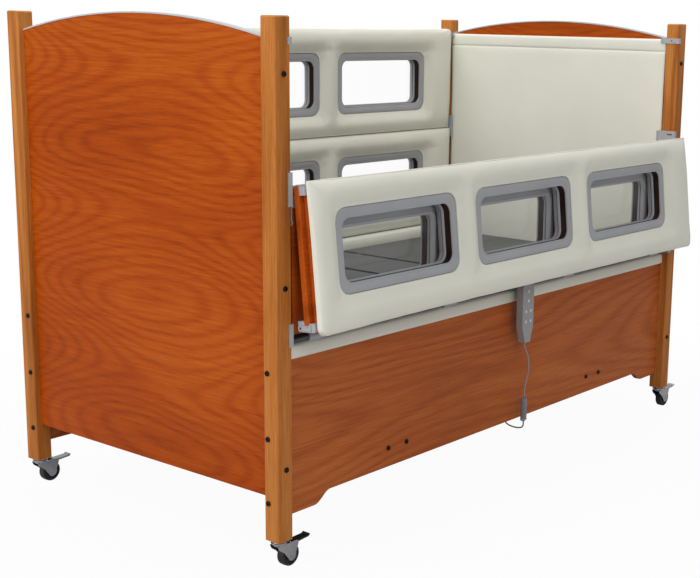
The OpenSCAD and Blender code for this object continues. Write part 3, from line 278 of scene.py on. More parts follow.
class Tree:
    """A material's node tree and the nodes that the materials below share."""

    def __init__(self, name):
        self.mat = bpy.data.materials.new(name)
        self.mat.use_nodes = True
        self.t = self.mat.node_tree
        self.t.nodes.clear()
        self.out = self.t.nodes.new("ShaderNodeOutputMaterial")
        self.at = self.t.nodes.new("ShaderNodeTexCoord").outputs["Object"]

    def node(self, kind, inputs=None, **props):
        n = self.t.nodes.new("ShaderNode" + kind)
        for k, v in props.items():
            setattr(n, k, v)
        for k, v in (inputs or {}).items():
            if isinstance(v, bpy.types.NodeSocket):
                self.t.links.new(v, n.inputs[k])
            else:
                n.inputs[k].default_value = v
        return n

    def scaled(self, scale):
        return self.node("Mapping", {"Vector": self.at, "Scale": scale}).outputs[0]

    def place(self, axis):
        """One coordinate of the shaded point, in metres."""
        return self.node("SeparateXYZ", {0: self.at}).outputs[axis]

    def noise(self, vector, scale, detail=4.0, rough=0.55, distortion=0.0):
        return self.node("TexNoise", {"Vector": vector, "Scale": scale, "Detail": detail,
                                      "Roughness": rough, "Distortion": distortion}).outputs["Fac"]

    def math(self, op, a, b=0.0, c=0.0, clamp=False):
        return self.node("Math", {0: a, 1: b, 2: c}, operation=op, use_clamp=clamp).outputs[0]

    def ramp(self, fac, stops):
        n = self.node("ValToRGB", {"Fac": fac})
        el = n.color_ramp.elements
        while len(el) < len(stops):
            el.new(0.5)
        for e, (p, c) in zip(el, stops):
            e.position = p
            e.color = c
        return n.outputs["Color"]

    def mix(self, fac, a, b, blend="MIX"):
        n = self.node("Mix", data_type="RGBA", blend_type=blend)
        for s, v in ((n.inputs[0], fac), (n.inputs[6], a), (n.inputs[7], b)):
            if isinstance(v, bpy.types.NodeSocket):
                self.t.links.new(v, s)
            else:
                s.default_value = v
        return n.outputs[2]

    def bump(self, height, strength, distance):
        return self.node("Bump", {"Height": height, "Strength": strength, "Distance": distance}).outputs[0]

    def show(self, shader):
        self.t.links.new(shader, self.out.inputs["Surface"])
        return self.mat

    def surface(self, **inputs):
        names = {"color": "Base Color", "rough": "Roughness", "metal": "Metallic", "normal": "Normal",
                 "coat": "Coat Weight", "coat_rough": "Coat Roughness", "spec": "Specular IOR Level"}
        return self.show(self.node("BsdfPrincipled", {names[k]: v for k, v in inputs.items()}).outputs[0])


def oval_field(t, field, base, axis, middle, reach, first, period):
    """Adds ovals to a timber's field, stacked upwards from first and centred at middle on the axis."""
    warp = t.noise(base, 1.1, 1.0, 0.4)
    turn = t.math("MULTIPLY_ADD", t.math("SUBTRACT", t.place(2), first), 2 * math.pi / period,
                  t.math("MULTIPLY", warp, 2.6))
    side = t.math("DIVIDE", t.math("SUBTRACT", t.place(axis), middle), reach)
    drop = t.math("MULTIPLY", t.math("MULTIPLY", side, side), 0.3)
    bands = t.math("MULTIPLY", t.math("COSINE", turn), 0.34)
    return t.math("ADD", t.math("MULTIPLY", field, 0.45), t.math("SUBTRACT", bands, drop))


def wood(name, tones, axes, contours, streak, rough=0.4, contrast=0.3, ovals=None):
    """Timber: growth lines are contours of a broad field; streaks and pores follow the grain."""
    t = Tree(name)
    base = t.scaled(axes)
    field = t.noise(base, 1.0, 1.2, 0.35, 0.5)
    if ovals:
        field = oval_field(t, field, base, *ovals)
    frayed = t.noise(t.scaled(tuple(v * 0.16 for v in streak)), 1.0, 3.0, 0.55)
    height = t.math("MULTIPLY_ADD", frayed, 0.05, field)
    lines = t.math("SINE", t.math("MULTIPLY", height, contours))
    lines = t.math("MULTIPLY_ADD", lines, 0.5, 0.5)
    lines = t.math("POWER", lines, 2.2)
    fine = t.noise(t.scaled(streak), 1.0, 5.0, 0.62)
    broad = t.noise(base, 0.9, 3.0, 0.5)
    fac = t.math("MULTIPLY_ADD", lines, -contrast, t.math("MULTIPLY", broad, 0.5))
    fac = t.math("MULTIPLY_ADD", fine, 0.42, fac)
    fac = t.math("ADD", fac, 0.02 + contrast * 0.35, clamp=True)
    color = t.ramp(fac, list(zip((0.16, 0.46, 0.78), tones)))
    pores = t.noise(t.scaled(tuple(v * 4 for v in streak)), 1.0, 2.0, 0.5)
    pore = t.ramp(pores, [(0.32, (0.70, 0.62, 0.58, 1)), (0.46, (1, 1, 1, 1))])
    color = t.mix(0.55, color, pore, "MULTIPLY")
    r = t.math("MULTIPLY_ADD", fine, 0.14, rough - 0.06)
    return t.surface(color=color, rough=r, spec=0.1, coat=0.02, coat_rough=0.3,
                     normal=t.bump(t.math("ADD", pores, fine), 0.08, 0.0005))


def vinyl(name, color, shade):
    """Soft vinyl: a fine cell grain over slow ripples."""
    t = Tree(name)
    cloud = t.noise(t.at, 5.0, 3.0, 0.5)
    grain = t.node("TexVoronoi", {"Vector": t.at, "Scale": 620.0}, feature="F1").outputs["Distance"]
    ripple = t.noise(t.at, 17.0, 3.0, 0.5, 0.4)
    c = t.mix(t.math("MULTIPLY", cloud, 0.7), color, shade)
    soft = t.bump(ripple, 0.22, 0.004)
    fine = t.node("Bump", {"Height": grain, "Strength": 0.12, "Distance": 0.0004, "Normal": soft})
    return t.surface(color=c, rough=t.math("MULTIPLY_ADD", cloud, 0.12, 0.44), spec=0.42,
                     normal=fine.outputs[0])


def plastic(name, color, shade, rough, scale=260.0, depth=0.0002):
    t = Tree(name)
    big = t.noise(t.at, 9.0, 3.0)
    fine = t.noise(t.at, scale, 2.0)
    return t.surface(color=t.mix(big, color, shade), rough=t.math("MULTIPLY_ADD", fine, 0.12, rough - 0.06),
                     normal=t.bump(fine, 0.15, depth))


def metal(name, color, shade, rough, metallic=1.0):
    t = Tree(name)
    brushed = t.noise(t.scaled((40, 40, 900)), 1.0, 3.0)
    big = t.noise(t.at, 14.0, 3.0)
    return t.surface(color=t.mix(big, color, shade), metal=metallic,
                     rough=t.math("MULTIPLY_ADD", brushed, 0.14, rough - 0.07),
                     normal=t.bump(brushed, 0.05, 0.0002))


def clear(name):
    """Clear pane: light passes straight through, with a gloss on the faces towards the eye."""
    t = Tree(name)
    haze = t.noise(t.at, 3.0, 2.0)
    tint = t.ramp(haze, [(0.0, (0.988, 0.99, 0.992, 1)), (1.0, (1, 1, 1, 1))])
    through = t.node("BsdfTransparent", {"Color": tint})
    rough = t.math("MULTIPLY_ADD", haze, 0.03, 0.02)
    gloss = t.node("BsdfGlossy", {"Color": (1, 1, 1, 1), "Roughness": rough})
    fres = t.node("Fresnel", {"IOR": 1.45}).outputs[0]
    front = t.math("SUBTRACT", 1.0, t.node("NewGeometry").outputs["Backfacing"])
    share = t.math("MULTIPLY", fres, front)
    return t.show(t.node("MixShader", {0: share, 1: through.outputs[0], 2: gloss.outputs[0]}).outputs[0])


def deck_laminate():
    """Charcoal laminate with soft pale streaks along the bed."""
    t = Tree("deck_laminate")
    streak = t.noise(t.scaled((3.0, 46.0, 46.0)), 1.0, 5.0, 0.6)
    cloud = t.noise(t.scaled((2.0, 9.0, 9.0)), 1.0, 3.0)
    c = t.ramp(t.math("MULTIPLY_ADD", streak, 0.6, t.math("MULTIPLY", cloud, 0.4)),
               [(0.3, srgb(48, 48, 50)), (0.55, srgb(74, 74, 76)), (0.75, srgb(104, 104, 106))])
    return t.surface(color=c, rough=t.math("MULTIPLY_ADD", streak, 0.2, 0.36),
                     normal=t.bump(streak, 0.1, 0.0004))


def tyre_rubber():
    """Black tyre, dusty where it meets the floor."""
    t = Tree("caster_tyre")
    dusty_height = 0.006
    fine = t.noise(t.at, 300.0, 2.0)
    c = t.mix(t.math("MULTIPLY", fine, 0.5), srgb(22, 22, 23), srgb(44, 44, 46))
    worn = t.math("LESS_THAN", t.place(2), dusty_height)
    c = t.mix(t.math("MULTIPLY", worn, 0.3), c, srgb(70, 68, 66))
    return t.surface(color=c, rough=t.math("MULTIPLY_ADD", fine, 0.2, 0.42),
                     normal=t.bump(fine, 0.2, 0.0003))


def handset_shell():
    """Grey shell whose raised keys are lighter."""
    t = Tree("handset_plastic")
    key_height = 0.0013
    key_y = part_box("handset")[0].y + key_height
    fine = t.noise(t.at, 420.0, 2.0)
    big = t.noise(t.at, 20.0, 2.0)
    key = t.math("LESS_THAN", t.place(1), key_y)
    body = t.mix(big, srgb(156, 156, 157), srgb(140, 140, 141))
    c = t.mix(key, body, srgb(206, 208, 212))
    return t.surface(color=c, rough=t.math("MULTIPLY_ADD", fine, 0.1, 0.36),
                     normal=t.bump(fine, 0.15, 0.0002))


MAT = {
    "post": wood("post_timber", (srgb(112, 58, 20), srgb(182, 110, 47), srgb(222, 156, 86)),
                 (9.0, 9.0, 0.7), 26.0, (260, 260, 6), contrast=0.16),
    "panel": wood("panel_timber", (srgb(124, 40, 0), srgb(166, 69, 4), srgb(198, 102, 24)),
                  (1.0, 1.1, 2.6), 52.0, (60, 5, 150), contrast=0.1, ovals=(1, -0.02, 0.42, 0.33, 0.44)),
    "skirt": wood("skirt_timber", (srgb(126, 56, 23), srgb(174, 90, 41), srgb(206, 122, 63)),
                  (0.8, 2.0, 3.0), 46.0, (4, 90, 160), contrast=0.1, ovals=(0, -0.2, 1.1, 0.2, 0.52)),
    "rail": wood("rail_timber", (srgb(112, 42, 8), srgb(176, 78, 20), srgb(208, 112, 40)),
                 (0.9, 2.4, 4.0), 30.0, (6, 120, 180), contrast=0.16),
    # Window reveals: the bare rail timber with painted shade. Its tones are far darker than the rail's and
    # stand in for the shade on the deep window walls.
    "reveal": wood("window_reveal_painted_shade", (srgb(28, 20, 16), srgb(46, 31, 24), srgb(60, 41, 32)),
                   (0.9, 2.4, 4.0), 30.0, (6, 120, 180), rough=0.55),
    "vinyl": vinyl("cream_vinyl", srgb(230, 229, 216), srgb(215, 214, 200)),
    "ring": plastic("window_grey", srgb(168, 169, 173), srgb(152, 153, 157), 0.36),
    "trim": plastic("trim_grey", srgb(196, 197, 201), srgb(176, 178, 183), 0.4),
    "cap": plastic("coated_grey", srgb(176, 178, 182), srgb(160, 162, 166), 0.38),
    "dark": plastic("dark_plastic", srgb(36, 36, 38), srgb(24, 24, 26), 0.45),
    "cord": plastic("cord_grey", srgb(150, 152, 160), srgb(132, 134, 142), 0.42, 300, 0.0001),
    "tube": metal("dark_tube", srgb(92, 94, 98), srgb(70, 72, 76), 0.36, 0.9),
    "bolt": metal("black_bolt", srgb(34, 34, 36), srgb(20, 20, 22), 0.38, 0.7),
    "steel": metal("charcoal_steel", srgb(66, 67, 69), srgb(50, 51, 53), 0.5, 0.4),
    "rod": metal("ground_steel", srgb(190, 192, 195), srgb(165, 167, 170), 0.22),
    "chrome": metal("caster_chrome", srgb(205, 206, 210), srgb(160, 162, 168), 0.16),
    "clear": clear("clear_pane"),
    "deck": deck_laminate(),
    "tyre": tyre_rubber(),
    "handset": handset_shell(),
}


def paint(obj, key):
    obj.data.materials.clear()
    obj.data.materials.append(MAT[key])
    obj.data.polygons.foreach_set("material_index", [0] * len(obj.data.polygons))


# Looks of the CAD nodes that stay in view

CASTERS = ["caster_%s_%s" % (side, end) for side in SIDES for end in ENDS]
RAILS = ["%s_%s" % (side, level) for side in SIDES for level in LEVELS]
CAD_LOOK = {
    "post": ["post_%s_%s" % (side, end) for side in SIDES for end in ENDS],
    "panel": [end + "_end_panel" for end in ENDS],
    "trim": ["end_edge_trims"],
    "skirt": [side + "_skirt" for side in SIDES],
    "rail": [rail + "_board" for rail in RAILS],
    "tube": ["side_tubes"],
    "cap": ["post_brackets"] + [rail + part for rail in RAILS for part in ("_fittings", "_latches")],
    "bolt": ["frame_bolts"],
    "steel": ["deck_frame"],
    "deck": ["seat_deck", "head_deck", "thigh_deck", "calf_deck"],
    "dark": ["control_box", "actuator_housings", CASTERS[0] + "_pedal"],
    "rod": ["head_actuator_rod", "leg_actuator_rod"],
    "handset": ["handset"],
    "chrome": [caster + "_pedal" for caster in CASTERS[1:]] + [caster + "_fork" for caster in CASTERS],
    "tyre": [caster + "_wheel" for caster in CASTERS],
}
for key, names in CAD_LOOK.items():
    for n in names:
        paint(nodes[n], key)
        shade_by_angle(nodes[n])


# Rail cushions, in millimetres: grid step, width of the round edges, corner rounding

PAD_STEP = 11.0
PAD_ROUND, ROUND_STEPS = 26.0, 7
FREE_CORNER, HINGE_CORNER = 24.0, 5.0

# Openings for the windows: half sizes, grid places about their edges, how far the corners are pulled
OPEN_L = RING_L / 2 + 1.2
OPEN_H = RING_H / 2 + 1.2
OPEN_STEPS = (-7.5, -3.5, 0.0, 5.0, 11.0, 18.0)
OPEN_MARGIN = 12.0
PULL_REACH, PULL_SPAN = 42.0, 312.0

# Form of the cover: fall towards the edges, rim heights, crown, dish round the windows, creases
SLOPE_W, SLOPE_POWER = 64.0, 2.6
RIM_HINGE, RIM_RISE, RIM_FREE = 5.0, 9.0, 2.0
CROWN = 3.0
DISH_EDGE = RING_FACE + 1.7 - PAD_BACK
DISH_W = 46.0
PUCKER, PUCKER_SIZE, PUCKER_REACH = 1.8, 26.0, 34.0
SLACK, SLACK_SIZE = 1.1, 120.0

# How far the ends and the free edge are drawn in, plainly and in waves, and the hinge edge's share
DRAW_END, END_WAVE, END_WAVE_SIZE = 2.0, 0.6, 60.0
DRAW_FREE, FREE_WAVE, FREE_WAVE_SIZE = 3.5, 0.9, 75.0
HINGE_SHARE = 0.15

# Stapled points: those near the back and near a window; how hard and how far (metres) the rest swells
STAPLED_BACK, STAPLED_RIM = 5.0, 4.0
PAD_PRESSURE, PAD_SWELL = 3.0, 0.0035


def pad_lines(low, high, openings):
    """Grid places across a cushion, closer at its round edges and at the edges of its openings."""
    near = edge_lines(low, PAD_ROUND, ROUND_STEPS)
    lines = list(near)
    for a, b in openings:
        lines += spaced(lines[-1], a - OPEN_MARGIN, PAD_STEP)[1:] + [a + v for v in OPEN_STEPS]
        lines += spaced(a + RING_R, b - RING_R, PAD_STEP) + [b - v for v in reversed(OPEN_STEPS)]
        lines.append(b + OPEN_MARGIN)
    lines += spaced(lines[-1], high - PAD_ROUND, PAD_STEP)[1:]
    return sorted_lines(lines + [high + low - v for v in reversed(near[:-1])])


def in_opening(lines, openings):
    """Says for each space between two grid places whether it lies in an opening."""
    slack = 0.01
    return [any(p >= a - slack and q <= b + slack for a, b in openings)
            for p, q in zip(lines[:-1], lines[1:])]


def window_distance(x, z, mid_z):
    """Distance from the nearest window's square opening."""
    up = np.maximum(np.abs(z - mid_z) - OPEN_H, 0)
    return np.min([np.hypot(np.maximum(np.abs(x - c) - OPEN_L, 0), up) for c in WINDOW_X], axis=0)


def window_pull(px, pz):
    """Shift that turns the grid's square opening into a round-cornered one, for points from its middle."""
    hl, hh, r = OPEN_L, OPEN_H, RING_R
    ax, az = np.abs(px), np.abs(pz)
    qx, qz = np.minimum(ax, hl), np.minimum(az, hh)
    on_top = az - hh >= ax - hl
    a = np.clip(np.where(on_top, hl - qx, hh - qz), 0, r)
    along = math.pi / 4 * (1 - a / r)
    arc_u, arc_v = r * np.sin(along), r * np.cos(along)
    cx, cz = hl - r, hh - r
    dx = np.where(on_top, cx + arc_u, cx + arc_v) - np.where(on_top, hl - a, hl)
    dz = np.where(on_top, cz + arc_v, cz + arc_u) - np.where(on_top, hh, hh - a)
    near = (qx > hl - r) & (qz > hh - r)
    fall = np.where(near, 1 - smooth(np.hypot(ax - qx, az - qz) / PULL_REACH), 0.0)
    return np.sign(px) * dx * fall, np.sign(pz) * dz * fall


def window_pulls(x, z, mid_z):
    """Shifts of all windows; each moves only the points near it."""
    px, pz = np.zeros_like(x), np.zeros_like(z)
    for c in WINDOW_X:
        dx, dz = window_pull(x - c, z - mid_z)
        here = np.abs(x - c) < PULL_SPAN
        px += np.where(here, dx, 0)
        pz += np.where(here, dz, 0)
    return px, pz


def pad_height(x, z, low, high, near):
    """Height over the back: thin at the hinge, fuller towards the free edge, dished at the windows."""
    edge = np.minimum(np.minimum(PAD_HALF - np.abs(x), z - low), high - z)
    edge = np.maximum(edge, 0)
    rise = smooth((z - low) / (high - low))
    u = 1 - np.minimum(edge, SLOPE_W) / SLOPE_W
    rim = RIM_HINGE + RIM_RISE * smooth(3 * (z - low) / (high - low)) + RIM_FREE * rise
    height = rim + (PAD_T - rim) * (1 - u ** SLOPE_POWER)
    crown = CROWN * (1 - ((z - (low + high) / 2) / ((high - low) / 2)) ** 2)
    crown = crown * smooth((PAD_HALF - np.abs(x)) / 160)
    full = height + crown * smooth(edge / 40)
    dish = smooth(near / DISH_W)
    height = np.minimum(full, DISH_EDGE + (full - DISH_EDGE) * dish)
    # Creases run from the window edges and corners into the vinyl
    pucker = hills(x + 0.3 * z, z - 0.3 * x, PUCKER_SIZE, seed=3.0)
    pucker = pucker * np.exp(-near / PUCKER_REACH) * smooth(near / 6.0)
    slack = hills(x, z, SLACK_SIZE, seed=7.0) * smooth(edge / 30.0)
    return height + PUCKER * pucker + SLACK * slack * dish


def rounded(a, b, r):
    """Moves points near a square corner onto a round one; a and b are distances from the two edges."""
    va, vb = np.maximum(r - a, 0), np.maximum(r - b, 0)
    both = (va > 0) & (vb > 0)
    n = np.maximum(np.hypot(va, vb), 1e-9)
    k = np.where(both, np.maximum(va, vb) / n, 1.0)
    return np.where(both, r - va * k, a), np.where(both, r - vb * k, b)


def pad_outline(x, z, low, high, level):
    """Places of the grid points with the cushion's round corners and its edges drawn in a little."""
    ea, eb = PAD_HALF - np.abs(x), np.minimum(z - low, high - z)
    bottom = (z - low) < (high - z)
    free = (level == "upper") & ~bottom
    na, nb = rounded(np.maximum(ea, 0), np.maximum(eb, 0), np.where(free, FREE_CORNER, HINGE_CORNER))
    draw_x = DRAW_END * smooth(eb / 150) * (1 - smooth(ea / 40))
    draw_x = draw_x + END_WAVE * hills(z, x * 0, END_WAVE_SIZE, seed=11.0) * (1 - smooth(ea / 25))
    draw_z = DRAW_FREE * smooth(ea / 400) * (1 - smooth(eb / 40))
    draw_z = draw_z + FREE_WAVE * hills(x, z * 0, FREE_WAVE_SIZE, seed=13.0) * (1 - smooth(eb / 25))
    draw_z = np.maximum(np.where(free, draw_z, HINGE_SHARE * draw_z), 0)
    out_x = np.sign(x) * (PAD_HALF - na - np.maximum(draw_x, 0))
    return out_x, np.where(bottom, low + nb + draw_z, high - nb - draw_z)


def make_pad(level):
    """One rail cushion as a closed shell, in rail coordinates."""
    low, high, mid_z = PAD_LOW[level], PAD_HIGH[level], WINDOW_Z[level]
    open_x = [(c - OPEN_L, c + OPEN_L) for c in WINDOW_X]
    open_z = [(mid_z - OPEN_H, mid_z + OPEN_H)]
    xs, zs = pad_lines(-PAD_HALF, PAD_HALF, open_x), pad_lines(low, high, open_z)
    x, z = (v.ravel() for v in np.meshgrid(xs, zs, indexing="ij"))
    height = pad_height(x, z, low, high, window_distance(x, z, mid_z))
    out_x, out_z = pad_outline(x, z, low, high, level)
    pull_x, pull_z = window_pulls(x, z, mid_z)
    verts = np.stack([out_x + pull_x, PAD_BACK + height, out_z + pull_z], 1)
    m = len(zs)
    hole_x, hole_z = in_opening(xs, open_x), in_opening(zs, open_z)
    faces = [f for f in grid_faces(len(xs), m) if not (hole_x[f[0] // m] and hole_z[f[0] % m])]
    used = sorted({v for f in faces for v in f})
    index = {v: k for k, v in enumerate(used)}
    faces = [tuple(index[v] for v in f) for f in faces]
    obj = new_object("pad_form", verts[used] / 1000.0, faces)
    draw_back(obj, 1, PAD_BACK / 1000.0)
    face_along(obj, 1, 1)
    # Border points of the windows and the back edge stay where they are stapled
    co = get_co(obj)
    back = co[:, 1] <= (PAD_BACK + STAPLED_BACK) / 1000
    rim = window_distance(co[:, 0] * 1000, co[:, 2] * 1000, mid_z) < STAPLED_RIM
    puff(obj, np.where(back | rim)[0], PAD_PRESSURE, PAD_SWELL)
    close_back(obj)
    return obj


def place_pad(source, side, level):
    obj = bpy.data.objects.new("%s_%s_cushion" % (side, level), source.data.copy())
    scene.collection.objects.link(obj)
    set_co(obj, to_frame(rail_points(get_co(obj) * 1000.0, side, level)))
    outward(obj)
    paint(obj, "vinyl")
    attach(obj, "%s_%s_rail" % (side, level))
    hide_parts("%s_%s_pad" % (side, level))


pad_forms = {level: make_pad(level) for level in LEVELS}
for side in SIDES:
    for level in LEVELS:
        place_pad(pad_forms[level], side, level)
for form in pad_forms.values():
    bpy.data.objects.remove(form)


# Window rings, reveals and panes

def rounded_loop(hl, hh, r, arc=9):
    """Points round a rectangle with round corners, the same number for any size."""
    out = []
    corners = ((hl - r, hh - r, 0), (-hl + r, hh - r, 90), (-hl + r, -hh + r, 180), (hl - r, -hh + r, 270))
    for cx, cz, first in corners:
        for k in range(arc):
            a = math.radians(first + 90.0 * k / (arc - 1))
            out.append((cx + r * math.cos(a), cz + r * math.sin(a)))
    return np.array(out)


def loop_strip(profile):
    """Closed band through a list of (half length, half height, corner radius, depth)."""
    loops = [np.insert(rounded_loop(hl, hh, r), 1, d, axis=1) for hl, hh, r, d in profile]
    n, k = len(loops[0]), len(loops)
    faces = []
    for i in range(k):
        a, b = i * n, ((i + 1) % k) * n
        faces += [(a + j, a + (j + 1) % n, b + (j + 1) % n, b + j) for j in range(n)]
    return np.concatenate(loops), faces


def ring_band(points):
    """Band of a window ring; points are (share of the way from opening to rim, depth)."""
    return loop_strip([(RING_L / 2 - RING_W * (1 - t), RING_H / 2 - LIP_H * (1 - t),
                        HOLE_R + (RING_R - HOLE_R) * t, d) for t, d in points])


def pane_plate(low_d, high_d):
    """Flat pane between two depths, reaching 2 mm under the rings."""
    loop = rounded_loop(RING_L / 2 - RING_W + 2, RING_H / 2 - LIP_H + 2, HOLE_R + 2)
    n = len(loop)
    verts = np.concatenate([np.insert(loop, 1, d, axis=1) for d in (low_d, high_d)])
    faces = [tuple(range(n)), tuple(range(2 * n - 1, n - 1, -1))]
    faces += [(j, (j + 1) % n, n + (j + 1) % n, n + j) for j in range(n)]
    return verts, faces


INNER_RING = ring_band([(t, RING_FACE + d - 100) for t, d in (
    (0.93, 94.6), (1.0, 95.2), (1.0, 98.6), (0.975, 99.6), (0.93, 100.0), (0.22, 100.2), (0.18, 99.2),
    (0.15, 99.2), (0.10, 100.2), (0.04, 99.9), (0.0, 98.9), (-0.01, 95.4), (0.02, 94.6))])
OUTER_RING = ring_band([
    (0.93, 0.0), (1.0, -0.6), (1.0, -3.6), (0.985, -4.6), (0.95, -5.0), (0.36, -5.0), (0.33, -5.4),
    (0.29, -6.6), (0.13, -6.6), (0.04, -5.4), (-0.01, -4.6), (-0.03, -3.6), (-0.09, 7.9), (0.08, 7.9),
    (0.08, 0.0)])
PANE_FRAME = ring_band([
    (0.09, 12.1), (0.09, 19.4), (0.02, 19.8), (-0.05, 19.2), (-0.08, 18.0), (-0.09, 12.1)])
REVEAL = ring_band([(0.05, RING_FACE - 5.6), (0.05, 19.6), (0.10, 19.6), (0.10, RING_FACE - 5.6)])
PANE = pane_plate(8.2, 11.8)


def at_windows(name, shapes, side, level, smooth_shade=True):
    """One object with a copy of the shapes at each window of a rail."""
    verts, faces = [], []
    for c in WINDOW_X:
        for v, f in shapes:
            base = sum(len(a) for a in verts)
            verts.append(v + [c, 0, WINDOW_Z[level]])
            faces += [tuple(i + base for i in q) for q in f]
    points = to_frame(rail_points(np.concatenate(verts), side, level))
    obj = new_object("%s_%s_%s" % (side, level, name), points, faces, smooth_shade)
    outward(obj)
    if smooth_shade:
        shade_by_angle(obj, 40)
    return obj


def make_windows(side, level):
    rings = at_windows("rings", (INNER_RING, OUTER_RING, PANE_FRAME), side, level)
    walls = at_windows("reveals", (REVEAL,), side, level)
    panes = at_windows("panes", (PANE,), side, level, smooth_shade=False)
    # The reveal walls take the dark timber with painted shade.
    for obj, key in ((rings, "ring"), (walls, "reveal"), (panes, "clear")):
        paint(obj, key)
        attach(obj, "%s_%s_rail" % (side, level))
        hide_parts("%s_%s_windows" % (side, level))


for side in SIDES:
    for level in LEVELS:
        make_windows(side, level)


# End liners: thin quilts with a hem and seam near the top

LINER_HALF, LINER_LOW, LINER_TOP, LINER_SEAM = 507.0, 475.0, 1342.0, 1295.0
LINER_BACK = 1035.7
LINER_REACH = 1021.9
LINER_STEP = 12.0
HEM, HEM_STEPS = 14.0, 5
SEAM_STEPS = (-6.0, -3.0, -1.2, 0.0, 1.2, 3.0, 6.0, 10.0)
TOP_STEPS = (7.0, 4.0, 1.8, 0.5, 0.0)

# Thickness at the hem and how much fuller the middle is; slow hills; folds and groove at the seam
LINER_RIM, LINER_FILL = 8.0, 4.6
LINER_HILL, LINER_HILL_SIZE = 0.9, 170.0
SEAM_FOLD, SEAM_FOLD_SIZE, SEAM_FOLD_REACH = 0.8, 38.0, 28.0
SEAM_DEPTH, SEAM_W = 3.2, 2.4
LINER_PRESSURE, LINER_SWELL = 1.0, 0.0010


def liner_thickness(y, z):
    e = np.maximum(np.minimum(np.minimum(LINER_HALF - np.abs(y), z - LINER_LOW), LINER_TOP - z), 0)
    u = 1 - np.minimum(e, HEM) / HEM
    seam = z - LINER_SEAM
    t = LINER_RIM + LINER_FILL * np.sqrt(np.maximum(1 - u * u, 0))
    t += LINER_HILL * hills(y, z, LINER_HILL_SIZE, seed=2.0) * smooth(e / 30)
    t += SEAM_FOLD * hills(y, z * 0.25, SEAM_FOLD_SIZE, seed=5.0) * np.exp(-np.abs(seam) / SEAM_FOLD_REACH)
    return t - SEAM_DEPTH * np.exp(-(seam / SEAM_W) ** 2)


def make_liner(end):
    ys = even_lines(LINER_HALF, HEM, HEM_STEPS, LINER_STEP)
    zs = edge_lines(LINER_LOW, HEM, HEM_STEPS) + spaced(LINER_LOW + HEM, LINER_SEAM - 10, LINER_STEP)[1:]
    zs += [LINER_SEAM + v for v in SEAM_STEPS]
    zs += spaced(LINER_SEAM + 10, LINER_TOP - 10, LINER_STEP)[1:] + [LINER_TOP - v for v in TOP_STEPS]
    zs = sorted_lines(zs)
    y, z = (v.ravel() for v in np.meshgrid(ys, zs, indexing="ij"))
    waist = 1 - 0.003 * smooth(np.minimum(z - LINER_LOW, LINER_TOP - z) / 200)
    verts = np.stack([LINER_BACK - liner_thickness(y, z), y * waist, z], 1)
    obj = new_object(end + "_end_liner", verts / 1000.0, grid_faces(len(ys), len(zs)))
    draw_back(obj, 0, LINER_BACK / 1000.0)
    face_along(obj, 0, -1)
    # The back edge and the seam stay in place
    co = get_co(obj) * 1000
    fixed = (co[:, 0] > LINER_BACK - 3) | (np.abs(co[:, 2] - LINER_SEAM) < 4)
    puff(obj, np.where(fixed)[0], LINER_PRESSURE, LINER_SWELL, frames=10)
    close_back(obj)
    co = get_co(obj) * 1000
    co[:, 0] = np.maximum(co[:, 0], LINER_REACH)
    if end == "foot":
        co[:, 0] *= -1
    set_co(obj, to_frame(co))
    obj.data.polygons.foreach_set("use_smooth", [True] * len(obj.data.polygons))
    outward(obj)
    paint(obj, "vinyl")
    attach(obj, "bed")
    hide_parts(end + "_end_pad")


for end in ENDS:
    make_liner(end)


# Sill bands over the upper edges of the skirts: section as (from the middle, height)

SILL_HALF, SILL_ROUND, SILL_FOOT = 1015.0, 14.0, 498.3
SILL_STEP = 13.0
SILL_MIDDLE = np.array([511.0, 524.0])
SILL = [(545, SILL_FOOT), (545, 520), (544, 528), (541, 533), (533, 537), (518, 546), (510, 549), (501, 550),
        (490, 549.6), (484, 549), (479, 546), (477, 542), (476, 520), (476, SILL_FOOT)]

# Its ends shrink a little; above the crest height it has small bumps, and below the grip it stays put
SILL_END = 0.92
SILL_BUMP, SILL_CREST, SILL_GRIP = 0.8, 500.0, 505.0
SILL_PRESSURE, SILL_SWELL = 2.0, 0.0015


def sill_section():
    """The section with points at most about 7 mm apart."""
    corners = np.array(SILL, float)
    fine = [corners[0]]
    for a, b in zip(corners[:-1], corners[1:]):
        k = max(1, int(np.hypot(*(b - a)) / 7))
        fine += [a + (b - a) * i / k for i in range(1, k + 1)]
    return np.array(fine)


def make_sill(side):
    section = sill_section()
    xs = even_lines(SILL_HALF, SILL_ROUND, 5, SILL_STEP)
    verts = []
    for x in xs:
        u = 1 - min(SILL_HALF - abs(x), SILL_ROUND) / SILL_ROUND
        k = SILL_END + (1 - SILL_END) * math.sqrt(max(1 - u * u, 0))
        for y, z in section:
            bump = SILL_BUMP * noise.noise(Vector((x / 55, y / 30, z / 30))) if z > SILL_CREST else 0
            q = SILL_MIDDLE + (np.array([y, z]) - SILL_MIDDLE) * (k + bump / 60)
            verts.append((x, -q[0], max(q[1], SILL_FOOT)))
    m = len(section)
    last = (len(xs) - 1) * m
    faces = band_faces(len(xs), m) + [tuple(range(m)), tuple(range(last + m - 1, last - 1, -1))]
    obj = new_object(side + "_sill_band", np.array(verts) / 1000.0, faces)
    outward(obj)
    co = get_co(obj) * 1000
    puff(obj, np.where(co[:, 2] < SILL_GRIP)[0], SILL_PRESSURE, SILL_SWELL, frames=10)
    co = get_co(obj) * 1000
    co[:, 2] = np.maximum(co[:, 2], SILL_FOOT)
    if side == "back":
        co[:, 1] *= -1
    set_co(obj, to_frame(co))
    outward(obj)
    paint(obj, "vinyl")
    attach(obj, "bed")
    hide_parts("sill_pads")


for side in SIDES:
    make_sill(side)


# Handset cord: one tube from handset to control box, through its curls

